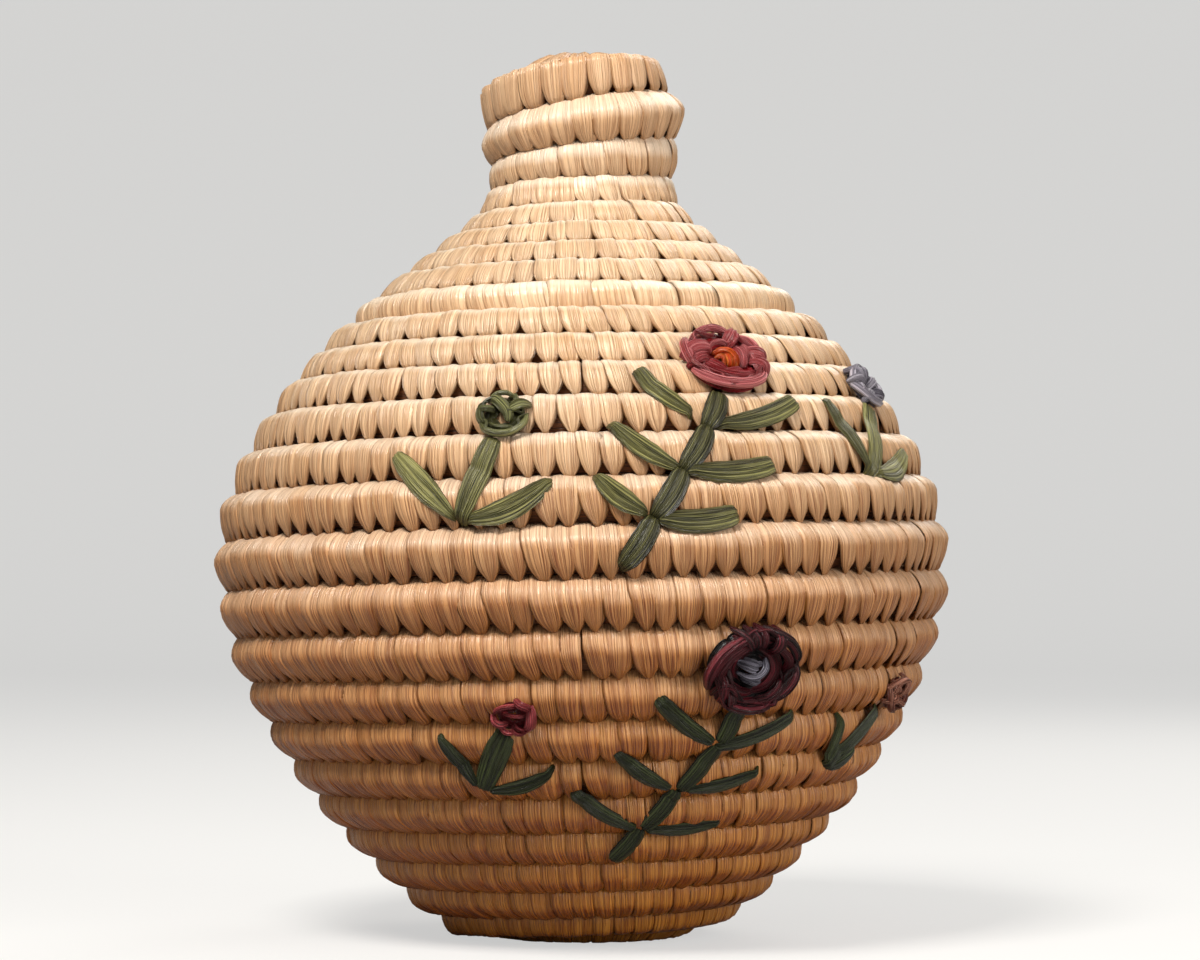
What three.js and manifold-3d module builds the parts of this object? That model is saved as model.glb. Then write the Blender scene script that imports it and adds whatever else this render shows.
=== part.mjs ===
// A small coiled grass basket with a lift-off lid.
// A thick round bundle of dry grass is wound from the middle of the base out and up to the mouth, each turn
// lying on the one before. The lid carries the same spiral on, from its thick edge up a shallow cone to a hollow
// knob, and a short inner coil under it drops into the mouth. Flower sprigs in dyed raffia are sewn on the front.
// Millimetres, +Z up, with the origin under the middle of the base. The front faces -Y.
import * as THREE from "three";
import Module from "manifold-3d";

const wasm = await Module();
wasm.setup();

// Spacing of the coil's turns along the wall, and the gap that is left between them
const BASE_PITCH = 9.7;
const FOOT_PITCH = 8.3;
const WAIST_PITCH = 8.8;
const BELLY_PITCH = 9.6;
const SHOULDER_PITCH = 8.5;
const MOUTH_PITCH = 7.1;
const EDGE_PITCH = 9.0;
const LID_PITCH = 7.0;
const NECK_PITCH = 6.6;
const KNOB_SIDE_PITCH = 7.8;
const KNOB_TOP_PITCH = 9.8;
const TURN_GAP = 0.5;

// Where the middle line of the coil runs, seen in section: radius from the axis and height above the floor
const FOOT_RADIUS = 24.5;
const FOOT_SLOPE = 38;
const BELLY_RADIUS = 70.4;
const BELLY_HEIGHT = 78;
const BELLY_FULLNESS_BELOW = 28;
const BELLY_FULLNESS_ABOVE = 17;
const MOUTH_RADIUS = 45.3;
const MOUTH_HEIGHT = 124.5;
const MOUTH_SLOPE = 132;
const NECK_RADIUS = 15.6;
const NECK_HEIGHT = 155;
const NECK_SWEEP = 8;
const KNOB_RADIUS = 17;
const KNOB_SIDE_HEIGHT = 172.5;
const KNOB_TOP_HEIGHT = 177;
const KNOB_CROWN_RADIUS = 12.5;

// The knob's rows rise to the right. They slant most at the side of the knob, and not at its neck or crown
const KNOB_SLANT = 5.5;
const SLANT_HEIGHTS = [155, 181];
const SLANT_SKEW = 1.5;

// The sections that stand for the round bundle have six sides, with a flat towards each neighbouring turn
const SECTION_SIDES = 6;
const STEPS_PER_TURN = 20;
const KNOB_STEPS_PER_TURN = 14;
const FLAT_SHARE = Math.cos(Math.PI / SECTION_SIDES);
const FRONT = -Math.PI / 2;

// Both spirals begin as a thin wedge, beside a small eye in the middle
const FIRST_TURN = -0.2;
const EYE_RADIUS = 0.6;

// Turns from the middle of the base to the foot, to the rows below the belly, and to the belly and shoulder
const FOOT_TURN = 4;
const WAIST_TURN = 10;
const BELLY_TURN = 12.5;
const SHOULDER_TURN = 16;

// The last turn of the body thins out at the back as the first turn of the lid thickens, one over the other
const MOUTH_TURN = 19.5;
const FRONT_TURN = 19;
const SCARF_STEPS = 3;
const SCARF_TIP = 0.12;

// The bottom of the base is worn flat, by this share of the bundle's radius
const WORN_FLAT_SHARE = 0.2;
const LID_TURNS = 5;
const NECK_TURN = MOUTH_TURN + LID_TURNS;
const KNOB_SIDE_TURN = NECK_TURN + 2;
const KNOB_TOP_TURN = NECK_TURN + 2.8;
const SPLICE_GAP = 0.5;

// The inner coil under the lid's edge: its bundle, its turns, and where it lies from the lid's edge
const FLANGE_BUNDLE_RADIUS = 3.7;
const FLANGE_TURNS = [0.2, 1.7];
const FLANGE_DIRECTION = 236;
const SEAT_GAP = 0.35;

// Raffia strips and cords of the sprigs
const LEAF_WIDTH = 3.6;
const STEM_WIDTH = 2.7;
const STRIP_CROWN = 1.1;
const STRIP_SHOULDER = 0.85;
const STRIP_EDGE = 0.45;
const STRIP_TIP_SHARE = 0.22;
const STRIP_FULLNESS = 0.6;
const STRIP_STEPS = 7;
const LEAF_SETBACK = 3;
const STEM_SETBACK = 0.9;
const CORD_STEPS_PER_TURN = 12;

// Sprigs are laid out as they are seen by an eye level with this height and this far in front of the axis:
// millimetres to the right of the axis, and above the floor, on the upright plane through the axis
const EYE_DISTANCE = 726;
const EYE_HEIGHT = 72;

const TALL_SPRIGS = [
  {
    name: "rose_flower",
    flower: [29.3, 118.1],
    radius: 8.6,
    cordRadius: 1.35,
    turns: 1.45,
    stem: [[27.7, 109.9], [26, 105], [21, 96], [15, 86], [8, 75.5]],
    leftTips: [[11, 117], [5.5, 106], [2.5, 95]],
    rightTips: [[44.5, 110.5], [40.5, 97.5], [33, 87]],
    petals: 0xa55055,
    centre: 0xdc5a1e,
    leaves: 0x55623c,
  },
  {
    name: "maroon_flower",
    flower: [34.3, 55],
    radius: 9.2,
    cordRadius: 1.5,
    turns: 1.3,
    stem: [[31, 44.2], [28, 39], [19.5, 29.5], [12, 21.5], [5.5, 15]],
    leftTips: [[15.5, 49], [6.5, 38], [-2, 29.5]],
    rightTips: [[44.5, 45.5], [37, 34], [29, 23.5]],
    petals: 0x4b1923,
    centre: 0x6e697d,
    leaves: 0x24371f,
  },
];

const SHORT_SPRIGS = [
  {
    name: "green_flower",
    flower: [-16, 106.7],
    radius: 5,
    foot: [-25.5, 85],
    tips: [[-39, 99.5], [-6, 94]],
    petals: 0x646937,
    leaves: 0x55623c,
  },
  {
    name: "crimson_flower",
    flower: [-14, 45],
    radius: 4.3,
    foot: [-20.5, 29.5],
    tips: [[-30, 42], [-5.5, 34]],
    petals: 0x962837,
    leaves: 0x24371f,
  },
  {
    name: "grey_flower",
    flower: [57.7, 112.3],
    radius: 4.5,
    foot: [60.5, 95],
    tips: [[49.5, 111], [66.5, 100]],
    petals: 0x828296,
    leaves: 0x424f30,
  },
  {
    name: "brown_flower",
    flower: [64, 50],
    radius: 4.5,
    foot: [51, 34],
    tips: [[52, 45], [56, 36.5]],
    petals: 0x966450,
    leaves: 0x2f4128,
  },
];

const SMALL_CORD_RADIUS = 1.15;
const SMALL_FLOWER_START = 1.3;
const CENTRE_SIDES = 10;
const CENTRE_HEIGHT = 2.6;
const CENTRE_LEVELS = [[1, 0], [1, 0.5], [0.6, 0.9]];

// How the search for a place that is seen begins, as shares of the way to it, and how often it halves
const SEARCH_SHARES = [0.8, 1];
const SEARCH_STEPS = 30;

const radians = THREE.MathUtils.degToRad;
const clamp = THREE.MathUtils.clamp;
const lerp = THREE.MathUtils.lerp;

const sectionRadius = (spacing, bend = 0) =>
  (spacing - TURN_GAP) / (2 * Math.cos(Math.PI / SECTION_SIDES - bend / 2));

const BASE_HEIGHT = sectionRadius(BASE_PITCH) * (1 - WORN_FLAT_SHARE);

// A point at a distance from another, in the direction of an angle from the horizontal
const offset = (x, y, distance, angle) => [
  x + distance * Math.cos(radians(angle)),
  y + distance * Math.sin(radians(angle)),
];

// The middle line of the wall, from the centre of the base to the centre of the knob's top
function wallOutline() {
  const path = new THREE.Path();
  path.moveTo(0, BASE_HEIGHT);
  path.lineTo(FOOT_RADIUS, BASE_HEIGHT);
  path.bezierCurveTo(
    ...offset(FOOT_RADIUS, BASE_HEIGHT, BELLY_FULLNESS_BELOW, FOOT_SLOPE),
    BELLY_RADIUS, BELLY_HEIGHT - BELLY_FULLNESS_BELOW,
    BELLY_RADIUS, BELLY_HEIGHT,
  );
  path.bezierCurveTo(
    BELLY_RADIUS, BELLY_HEIGHT + BELLY_FULLNESS_ABOVE,
    ...offset(MOUTH_RADIUS, MOUTH_HEIGHT, -BELLY_FULLNESS_ABOVE, MOUTH_SLOPE),
    MOUTH_RADIUS, MOUTH_HEIGHT,
  );
  path.bezierCurveTo(
    ...offset(MOUTH_RADIUS, MOUTH_HEIGHT, BELLY_FULLNESS_BELOW, MOUTH_SLOPE + NECK_SWEEP),
    NECK_RADIUS, NECK_HEIGHT - NECK_SWEEP,
    NECK_RADIUS, NECK_HEIGHT,
  );
  path.bezierCurveTo(
    NECK_RADIUS, NECK_HEIGHT + NECK_SWEEP,
    KNOB_RADIUS, KNOB_SIDE_HEIGHT - NECK_SWEEP,
    KNOB_RADIUS, KNOB_SIDE_HEIGHT,
  );
  path.quadraticCurveTo(KNOB_RADIUS, KNOB_TOP_HEIGHT, KNOB_CROWN_RADIUS, KNOB_TOP_HEIGHT);
  path.lineTo(0, KNOB_TOP_HEIGHT);
  return path;
}

const outline = wallOutline();
outline.arcLengthDivisions = 400;
const outlineLength = outline.getLength();

// A point on the middle line. It runs straight on past the axis at both ends
function outlinePoint(arc) {
  const point = outline.getPointAt(clamp(arc / outlineLength, 0, 1));
  point.x += Math.min(arc, 0) - Math.max(arc - outlineLength, 0);
  return point;
}

function outlineAngle(arc) {
  const ahead = outlinePoint(arc + FOOT_PITCH / 2);
  const behind = outlinePoint(arc - FOOT_PITCH / 2);
  return Math.atan2(ahead.y - behind.y, ahead.x - behind.x);
}

// The pitch at certain turns. It eases from each to the next
const PITCHES = [
  [0, BASE_PITCH],
  [FOOT_TURN, FOOT_PITCH],
  [WAIST_TURN, WAIST_PITCH],
  [BELLY_TURN, BELLY_PITCH],
  [SHOULDER_TURN, SHOULDER_PITCH],
  [MOUTH_TURN - 1, MOUTH_PITCH],
  [MOUTH_TURN - 0.3, MOUTH_PITCH],
  [MOUTH_TURN + 0.5, EDGE_PITCH],
  [MOUTH_TURN + 1.5, LID_PITCH],
  [NECK_TURN, NECK_PITCH],
  [KNOB_SIDE_TURN, KNOB_SIDE_PITCH],
  [KNOB_TOP_TURN, KNOB_TOP_PITCH],
];

// How far the coil has come along the outline after a number of turns
function arcAt(turn) {
  let arc = 0;
  for (let i = 0; i < PITCHES.length; i += 1) {
    const [from, pitch] = PITCHES[i];
    const [to, nextPitch] = PITCHES[i + 1] ?? [Infinity, pitch];
    const span = Math.min(turn, to) - from;
    const share = to === Infinity ? 0 : span / (to - from);
    arc += span * (pitch + (share * (nextPitch - pitch)) / 2);
    if (turn <= to) break;
  }
  return arc;
}

// How many turns the coil has made where it has come this far
function turnAt(arc) {
  let low = 0;
  let high = arc / NECK_PITCH;
  while (high - low > 1e-4) {
    const middle = (low + high) / 2;
    if (arcAt(middle) < arc) low = middle;
    else high = middle;
  }
  return low;
}

const coilPoint = (turn) => outlinePoint(arcAt(turn));
const coilAzimuth = (turn) => FRONT + 2 * Math.PI * (turn - FRONT_TURN);

// The direction in which the turns are stacked at this place
function stackAngle(turn) {
  const ahead = coilPoint(turn + 0.5);
  const behind = coilPoint(turn - 0.5);
  return Math.atan2(ahead.y - behind.y, ahead.x - behind.x);
}

// The radius at which a section of the bundle keeps its gap to the turns before and after it
function bundleRadius(turn) {
  const here = coilPoint(turn);
  const radii = [turn - 1, turn + 1].map((other) => {
    const bend = Math.abs(stackAngle(other) - stackAngle(turn));
    return sectionRadius(coilPoint(other).distanceTo(here), bend);
  });
  return Math.min(...radii);
}

// A ring of points around the bundle, from one side of it to the other in the direction of stacking.
// It stops short of the axis, on either side, and leaves an eye there
function sectionRing(here, along, azimuth, radius, low, high) {
  return Array.from({ length: SECTION_SIDES }, (_, j) => {
    const angle = (2 * Math.PI * (j + 0.5)) / SECTION_SIDES;
    const share = (1 + Math.cos(angle) / FLAT_SHARE) / 2;
    const up = lerp(low, high, share);
    const out = radius * Math.sin(angle);
    const r = here.x + up * Math.cos(along) + out * Math.sin(along);
    const z = here.y + up * Math.sin(along) - out * Math.cos(along);
    const clear = Math.max(r, EYE_RADIUS);
    return new THREE.Vector3(clear * Math.cos(azimuth), clear * Math.sin(azimuth), z);
  });
}

// The bundle's section at a turn. A thinned one keeps one side where it was: side is 1 above, -1 below
function bundleRing(turn, thinness = 1, side = 0) {
  const radius = bundleRadius(turn);
  const half = radius * FLAT_SHARE;
  const low = side > 0 ? half * (1 - 2 * thinness) : -half;
  const high = side < 0 ? half * (2 * thinness - 1) : half;
  return sectionRing(coilPoint(turn), stackAngle(turn), coilAzimuth(turn), radius, low, high);
}

// A closed tube through rings of points, with a flat cap on each end
function tubeGeometry(rings) {
  const sides = rings[0].length;
  const vertices = rings.flat();
  const first = vertices.length;
  const middle = (ring) => ring.reduce((sum, p) => sum.add(p), new THREE.Vector3()).divideScalar(sides);
  vertices.push(middle(rings[0]), middle(rings.at(-1)));
  const faces = [];
  for (let i = 0; i < rings.length - 1; i += 1) {
    for (let j = 0; j < sides; j += 1) {
      const a = i * sides + j;
      const b = i * sides + ((j + 1) % sides);
      faces.push(a, b, a + sides, b, b + sides, a + sides);
    }
  }
  const end = (rings.length - 1) * sides;
  for (let j = 0; j < sides; j += 1) {
    const next = (j + 1) % sides;
    faces.push(first, next, j, first + 1, end + j, end + next);
  }
  return meshGeometry(vertices, faces);
}

function meshGeometry(vertices, faces) {
  const geometry = new THREE.BufferGeometry();
  geometry.setAttribute("position", new THREE.Float32BufferAttribute(vertices.flatMap((p) => p.toArray()), 3));
  geometry.setIndex(faces);
  geometry.computeVertexNormals();
  return geometry;
}

// The least distance between points of one winding that lie at least half a turn apart
function leastGap(rings, stepsPerTurn) {
  let least = Infinity;
  for (let i = 0; i < rings.length; i += 1) {
    for (let k = i + Math.ceil(stepsPerTurn / 2); k < rings.length; k += 1) {
      for (const p of rings[i]) {
        for (const q of rings[k]) least = Math.min(least, p.distanceTo(q));
      }
    }
  }
  return least;
}

const root = new THREE.Group();

function addMesh(name, geometry, color) {
  const material = new THREE.MeshStandardMaterial({ color, roughness: 0.55, metalness: 0 });
  const mesh = new THREE.Mesh(geometry, material);
  mesh.name = name;
  root.add(mesh);
}

function addWinding(name, rings, stepsPerTurn, color, finish = (geometry) => geometry) {
  console.log(`${name}: least gap to itself ${leastGap(rings, stepsPerTurn).toFixed(2)} mm`);
  addMesh(name, finish(tubeGeometry(rings)), color);
}

const toManifold = (geometry) => new wasm.Manifold(new wasm.Mesh({
  numProp: 3,
  vertProperties: new Float32Array(geometry.attributes.position.array),
  triVerts: new Uint32Array(geometry.index.array),
}));

// Takes away everything below the floor
function cutAtFloor(geometry) {
  const reach = 4 * BELLY_RADIUS;
  const below = new THREE.BoxGeometry(reach, reach, reach).translate(0, 0, -reach / 2);
  const box = boxWithSharedCorners(below);
  const cut = toManifold(geometry).subtract(toManifold(box)).getMesh();
  const points = Array.from({ length: cut.numVert }, (_, i) =>
    new THREE.Vector3().fromArray(cut.vertProperties, i * cut.numProp));
  return meshGeometry(points, Array.from(cut.triVerts));
}

// A box whose faces meet in eight shared corners
function boxWithSharedCorners(box) {
  const seen = new Map();
  const points = [];
  const source = box.attributes.position;
  const faces = Array.from(box.index.array, (i) => {
    const point = new THREE.Vector3().fromBufferAttribute(source, i);
    const key = point.toArray().join();
    if (!seen.has(key)) seen.set(key, points.push(point) - 1);
    return seen.get(key);
  });
  return meshGeometry(points, faces);
}

// What a bundle keeps of its height, a number of steps from its tip
function scarfShare(stepsFromTip) {
  const clearance = TURN_GAP / MOUTH_PITCH;
  const most = 1 - clearance - SCARF_TIP;
  return stepsFromTip > SCARF_STEPS ? 1 : lerp(SCARF_TIP, most, stepsFromTip / SCARF_STEPS);
}

function bodyRings() {
  const first = Math.round(FIRST_TURN * STEPS_PER_TURN);
  const last = Math.round(MOUTH_TURN * STEPS_PER_TURN) + SCARF_STEPS;
  const rings = [];
  for (let step = first; step <= last; step += 1) {
    rings.push(bundleRing(step / STEPS_PER_TURN, scarfShare(last - step), -1));
  }
  return rings;
}

function lidRings() {
  const first = Math.round(MOUTH_TURN * STEPS_PER_TURN);
  const rings = [];
  for (let step = 0; step <= LID_TURNS * STEPS_PER_TURN; step += 1) {
    rings.push(bundleRing((first + step) / STEPS_PER_TURN, scarfShare(step), 1));
  }
  return rings;
}

function slanted(point) {
  const [low, high] = SLANT_HEIGHTS;
  const share = clamp((point.z - low) / (high - low), 0, 1);
  point.z += point.x * Math.tan(radians(KNOB_SLANT)) * Math.sin(Math.PI * share ** SLANT_SKEW);
  return point;
}

// The knob goes on from the lid's last section, with a small gap where the bundles are spliced
function knobRings() {
  const from = NECK_TURN + SPLICE_GAP / (2 * Math.PI * NECK_RADIUS);
  const last = outlineLength - FIRST_TURN * KNOB_TOP_PITCH;
  const rings = [];
  for (let step = 0; ; step += 1) {
    const turn = from + step / KNOB_STEPS_PER_TURN;
    if (arcAt(turn) > last) return rings;
    rings.push(bundleRing(turn).map(slanted));
  }
}

// The inner coil runs beside the lid's first rows, inwards and down, with a flat side against a flat side
function flangeRings() {
  const half = FLANGE_BUNDLE_RADIUS * FLAT_SHARE;
  const [first, last] = FLANGE_TURNS.map((turns) => Math.round((MOUTH_TURN + turns) * STEPS_PER_TURN));
  const rings = [];
  for (let step = first; step <= last; step += 1) {
    const turn = step / STEPS_PER_TURN;
    const beside = coilPoint(turn);
    const along = stackAngle(turn);
    const flatNormal = along + Math.PI / 2 + Math.PI / SECTION_SIDES;
    const reach = bundleRadius(turn) * FLAT_SHARE + half + SEAT_GAP;
    const distance = reach / Math.cos(radians(FLANGE_DIRECTION) - flatNormal);
    const here = new THREE.Vector2(...offset(beside.x, beside.y, distance, FLANGE_DIRECTION));
    rings.push(sectionRing(here, along, coilAzimuth(turn), FLANGE_BUNDLE_RADIUS, -half, half));
  }
  return rings;
}

const crestHeight = (arc) => bundleRadius(turnAt(arc));

// The outside of the wall at evenly spaced places from foot to mouth, for finding what lies on it
const skin = [];
for (let arc = FOOT_RADIUS; arc < arcAt(MOUTH_TURN); arc += 1) {
  const here = outlinePoint(arc);
  const along = outlineAngle(arc);
  const height = crestHeight(arc);
  skin.push({ arc, r: here.x + height * Math.sin(along), z: here.y - height * Math.cos(along) });
}

function skinAt(z) {
  const above = skin.findIndex((place) => place.z > z);
  const [low, high] = [skin[above - 1], skin[above]];
  const share = (z - low.z) / (high.z - low.z);
  return { arc: lerp(low.arc, high.arc, share), r: lerp(low.r, high.r, share) };
}

// The place on the wall that the eye sees at a point of the plane through the axis
function seenAt([x, z]) {
  const eye = new THREE.Vector3(0, -EYE_DISTANCE, EYE_HEIGHT);
  const target = new THREE.Vector3(x, 0, z);
  let [near, far] = SEARCH_SHARES;
  let point = target;
  for (let i = 0; i < SEARCH_STEPS; i += 1) {
    const middle = (near + far) / 2;
    point = eye.clone().lerp(target, middle);
    const inside = Math.hypot(point.x, point.y) < skinAt(point.z).r;
    if (inside) far = middle;
    else near = middle;
  }
  return { arc: skinAt(point.z).arc, azimuth: Math.atan2(point.y, point.x) };
}

// A point over the wall, at a height off its middle line. It lies on the straight stretch between two
// sections of the coil, as the bundle itself does
function overWall(arc, azimuth, height) {
  const stepAngle = (2 * Math.PI) / STEPS_PER_TURN;
  const stretch = (azimuth - FRONT) / stepAngle;
  const from = Math.floor(stretch);
  const here = outlinePoint(arc);
  const along = outlineAngle(arc);
  const r = here.x + height * Math.sin(along);
  const z = here.y - height * Math.cos(along);
  const [start, end] = [from, from + 1].map((step) => {
    const angle = FRONT + step * stepAngle;
    return new THREE.Vector3(r * Math.cos(angle), r * Math.sin(angle), z);
  });
  return start.lerp(end, stretch - from);
}

// The height of the rows' own surface over the middle line: full on a crest, less towards a groove
function rowHeight(arc, azimuth) {
  const turnHere = FRONT_TURN + (azimuth - FRONT) / (2 * Math.PI);
  const row = turnHere + Math.round(turnAt(arc) - turnHere);
  return bundleRadius(row) - Math.abs(arc - arcAt(row)) * Math.tan(Math.PI / SECTION_SIDES);
}

const wallRadius = (place) => outlinePoint(place.arc).x + crestHeight(place.arc);

// The place at a distance from one towards another, both on the wall
function towards(from, to, distance) {
  const length = Math.hypot(to.arc - from.arc, wallRadius(from) * (to.azimuth - from.azimuth));
  const share = distance / length;
  return { arc: lerp(from.arc, to.arc, share), azimuth: lerp(from.azimuth, to.azimuth, share) };
}

// A flat strip of raffia with a crown, drawn to a point at both ends, where it goes into the coil
function addStrip(name, from, to, width, color) {
  const radius = wallRadius(from);
  const run = [to.arc - from.arc, radius * (to.azimuth - from.azimuth)];
  const length = Math.hypot(...run);
  const edges = [[-STRIP_SHOULDER, STRIP_EDGE], [0, STRIP_CROWN], [STRIP_SHOULDER, STRIP_EDGE]];
  const section = [[-1, 0], ...edges, [1, 0], [0, 0]];
  const rings = Array.from({ length: STRIP_STEPS + 1 }, (_, i) => {
    const share = i / STRIP_STEPS;
    const isTip = i === 0 || i === STRIP_STEPS;
    const fullness = lerp(STRIP_TIP_SHARE, 1, Math.sin(Math.PI * share) ** STRIP_FULLNESS);
    const arc = lerp(from.arc, to.arc, share);
    const azimuth = lerp(from.azimuth, to.azimuth, share);
    const seat = SEAT_GAP + (isTip ? rowHeight(arc, azimuth) : crestHeight(arc));
    return section.map(([across, up]) => {
      const side = (across * fullness * width) / 2 / length;
      return overWall(arc - run[1] * side, azimuth + (run[0] * side) / radius, seat + up * fullness);
    });
  });
  addMesh(name, tubeGeometry(rings), color);
}

// A flower wound from one cord of raffia, flat on the wall
function addWoundFlower(name, place, innerRadius, outerRadius, cordRadius, color) {
  const radius = wallRadius(place);
  const seat = crestHeight(place.arc) + SEAT_GAP;
  const half = cordRadius * FLAT_SHARE;
  const pitch = 2 * half + TURN_GAP;
  const turns = (outerRadius - half - innerRadius) / pitch;
  const steps = Math.ceil(turns * CORD_STEPS_PER_TURN);
  const rings = Array.from({ length: steps + 1 }, (_, i) => {
    const angle = (2 * Math.PI * i) / CORD_STEPS_PER_TURN;
    const middle = innerRadius + (pitch * i) / CORD_STEPS_PER_TURN;
    return Array.from({ length: SECTION_SIDES }, (_unused, j) => {
      const around = (-2 * Math.PI * (j + 0.5)) / SECTION_SIDES;
      const reach = middle + cordRadius * Math.cos(around);
      const height = seat + cordRadius * (1 + Math.sin(around));
      return overWall(
        place.arc + reach * Math.sin(angle),
        place.azimuth + (reach * Math.cos(angle)) / radius,
        height,
      );
    });
  });
  addWinding(name, rings, CORD_STEPS_PER_TURN, color);
}

// The round knot in the middle of a large flower, through levels of width and height as shares of its own
function addFlowerCentre(name, place, radius, color) {
  const reach = wallRadius(place);
  const seat = crestHeight(place.arc) + SEAT_GAP;
  const rings = CENTRE_LEVELS.map(([width, share]) => Array.from({ length: CENTRE_SIDES }, (_, j) => {
    const angle = (2 * Math.PI * j) / CENTRE_SIDES;
    return overWall(
      place.arc + radius * width * Math.sin(angle),
      place.azimuth + (radius * width * Math.cos(angle)) / reach,
      seat + CENTRE_HEIGHT * share,
    );
  }));
  addMesh(name, tubeGeometry(rings), color);
}

function addTallSprig(sprig) {
  const flower = seenAt(sprig.flower);
  const half = sprig.cordRadius * FLAT_SHARE;
  const inner = sprig.radius - half - sprig.turns * (2 * half + TURN_GAP);
  addWoundFlower(sprig.name, flower, inner, sprig.radius, sprig.cordRadius, sprig.petals);
  addFlowerCentre(`${sprig.name}_centre`, flower, inner - half - TURN_GAP, sprig.centre);
  const joints = sprig.stem.map(seenAt);
  for (let i = 0; i < joints.length - 1; i += 1) {
    const from = towards(joints[i], joints[i + 1], i === 0 ? 0 : STEM_SETBACK);
    const to = towards(joints[i + 1], joints[i], i === joints.length - 2 ? 0 : STEM_SETBACK);
    addStrip(`${sprig.name}_stem_${i + 1}`, from, to, STEM_WIDTH, sprig.leaves);
  }
  const sides = { left: sprig.leftTips, right: sprig.rightTips };
  for (const [side, tips] of Object.entries(sides)) {
    tips.forEach((tip, i) => {
      const end = seenAt(tip);
      const from = towards(joints[i + 1], end, LEAF_SETBACK);
      addStrip(`${sprig.name}_leaf_${side}_${i + 1}`, from, end, LEAF_WIDTH, sprig.leaves);
    });
  }
}

function addShortSprig(sprig) {
  const flower = seenAt(sprig.flower);
  const foot = seenAt(sprig.foot);
  addWoundFlower(sprig.name, flower, SMALL_FLOWER_START, sprig.radius, SMALL_CORD_RADIUS, sprig.petals);
  const top = towards(flower, foot, sprig.radius + SMALL_CORD_RADIUS);
  addStrip(`${sprig.name}_stem`, top, foot, LEAF_WIDTH, sprig.leaves);
  ["left", "right"].forEach((side, i) => {
    const end = seenAt(sprig.tips[i]);
    addStrip(`${sprig.name}_leaf_${side}`, towards(foot, end, LEAF_SETBACK), end, LEAF_WIDTH, sprig.leaves);
  });
}

const STRAW = 0xdcb98a;
addWinding("body_coil", bodyRings(), STEPS_PER_TURN, STRAW, cutAtFloor);
addWinding("lid_coil", lidRings(), STEPS_PER_TURN, STRAW);
addWinding("lid_flange_coil", flangeRings(), STEPS_PER_TURN, STRAW);
addWinding("knob_coil", knobRings(), KNOB_STEPS_PER_TURN, STRAW);
TALL_SPRIGS.forEach(addTallSprig);
SHORT_SPRIGS.forEach(addShortSprig);

export default root;
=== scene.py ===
"""Dresses the coiled grass basket: its stitched coils, its raffia flower sprigs, the stage and the camera."""
from bisect import bisect_left
from math import atan2, ceil, cos, floor, hypot, pi, radians, sin, sqrt, tan

import bpy
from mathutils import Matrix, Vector, noise


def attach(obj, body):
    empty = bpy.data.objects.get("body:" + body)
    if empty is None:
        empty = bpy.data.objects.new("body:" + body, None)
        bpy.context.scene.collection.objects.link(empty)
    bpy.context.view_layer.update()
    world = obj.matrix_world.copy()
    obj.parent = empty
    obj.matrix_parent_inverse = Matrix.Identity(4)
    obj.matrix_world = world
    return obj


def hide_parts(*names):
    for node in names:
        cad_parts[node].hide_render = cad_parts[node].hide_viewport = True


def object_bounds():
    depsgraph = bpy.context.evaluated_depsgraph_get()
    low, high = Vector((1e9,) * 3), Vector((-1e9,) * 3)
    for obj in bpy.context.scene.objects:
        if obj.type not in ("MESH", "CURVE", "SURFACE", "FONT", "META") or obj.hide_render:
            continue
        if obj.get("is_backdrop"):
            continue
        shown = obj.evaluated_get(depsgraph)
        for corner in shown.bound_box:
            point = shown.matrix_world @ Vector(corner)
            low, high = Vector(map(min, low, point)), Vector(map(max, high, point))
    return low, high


bl_info = {
    "name": "Coiled grass basket",
    "version": (1, 0, 0),
    "blender": (4, 5, 0),
    "location": "View3D > Sidebar > Basket",
    "description": "Makes a lidded basket of stitched grass coil with flower sprigs in raffia",
    "category": "Object",
}

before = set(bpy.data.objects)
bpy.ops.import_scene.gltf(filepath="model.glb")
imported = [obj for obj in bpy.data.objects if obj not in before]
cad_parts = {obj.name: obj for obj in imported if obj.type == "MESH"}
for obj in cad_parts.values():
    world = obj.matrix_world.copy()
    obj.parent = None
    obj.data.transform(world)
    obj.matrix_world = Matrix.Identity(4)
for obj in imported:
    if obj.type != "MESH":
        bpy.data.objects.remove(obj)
CAD_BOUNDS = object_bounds()
MM = 0.001

# The coil's route, in millimetres, as the part's source has it: its pitch at certain turns, and the outline
# of the wall
MOUTH_TURN = 19.5
FRONT_TURN = 19
NECK_TURN = 24.5
LEAST_PITCH = 6.6
PITCHES = (
    (0, 9.7),
    (4, 8.3),
    (10, 8.8),
    (12.5, 9.6),
    (16, 8.5),
    (MOUTH_TURN - 1, 7.1),
    (MOUTH_TURN - 0.3, 7.1),
    (MOUTH_TURN + 0.5, 9.0),
    (MOUTH_TURN + 1.5, 7.0),
    (NECK_TURN, LEAST_PITCH),
    (NECK_TURN + 2, 7.8),
    (NECK_TURN + 2.8, 9.8),
)
TURN_GAP = 0.5
CROSSING_ANGLE = pi / 6
WORN_FLAT_SHARE = 0.2
FOOT_RADIUS, FOOT_SLOPE = 24.5, 38
BELLY_RADIUS, BELLY_HEIGHT = 70.4, 78
FULLNESS_BELOW, FULLNESS_ABOVE = 28, 17
MOUTH_RADIUS, MOUTH_HEIGHT, MOUTH_SLOPE = 45.3, 124.5, 132
NECK_RADIUS, NECK_HEIGHT, NECK_SWEEP = 15.6, 155, 8
KNOB_RADIUS, KNOB_SIDE_HEIGHT, KNOB_TOP_HEIGHT, KNOB_CROWN_RADIUS = 17, 172.5, 177, 12.5
KNOB_SLANT, SLANT_HEIGHTS, SLANT_SKEW = 5.5, (155, 181), 1.5
OUTLINE_STEPS = 60
FRONT = -pi / 2
SCARF_TURNS = 0.15
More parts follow.
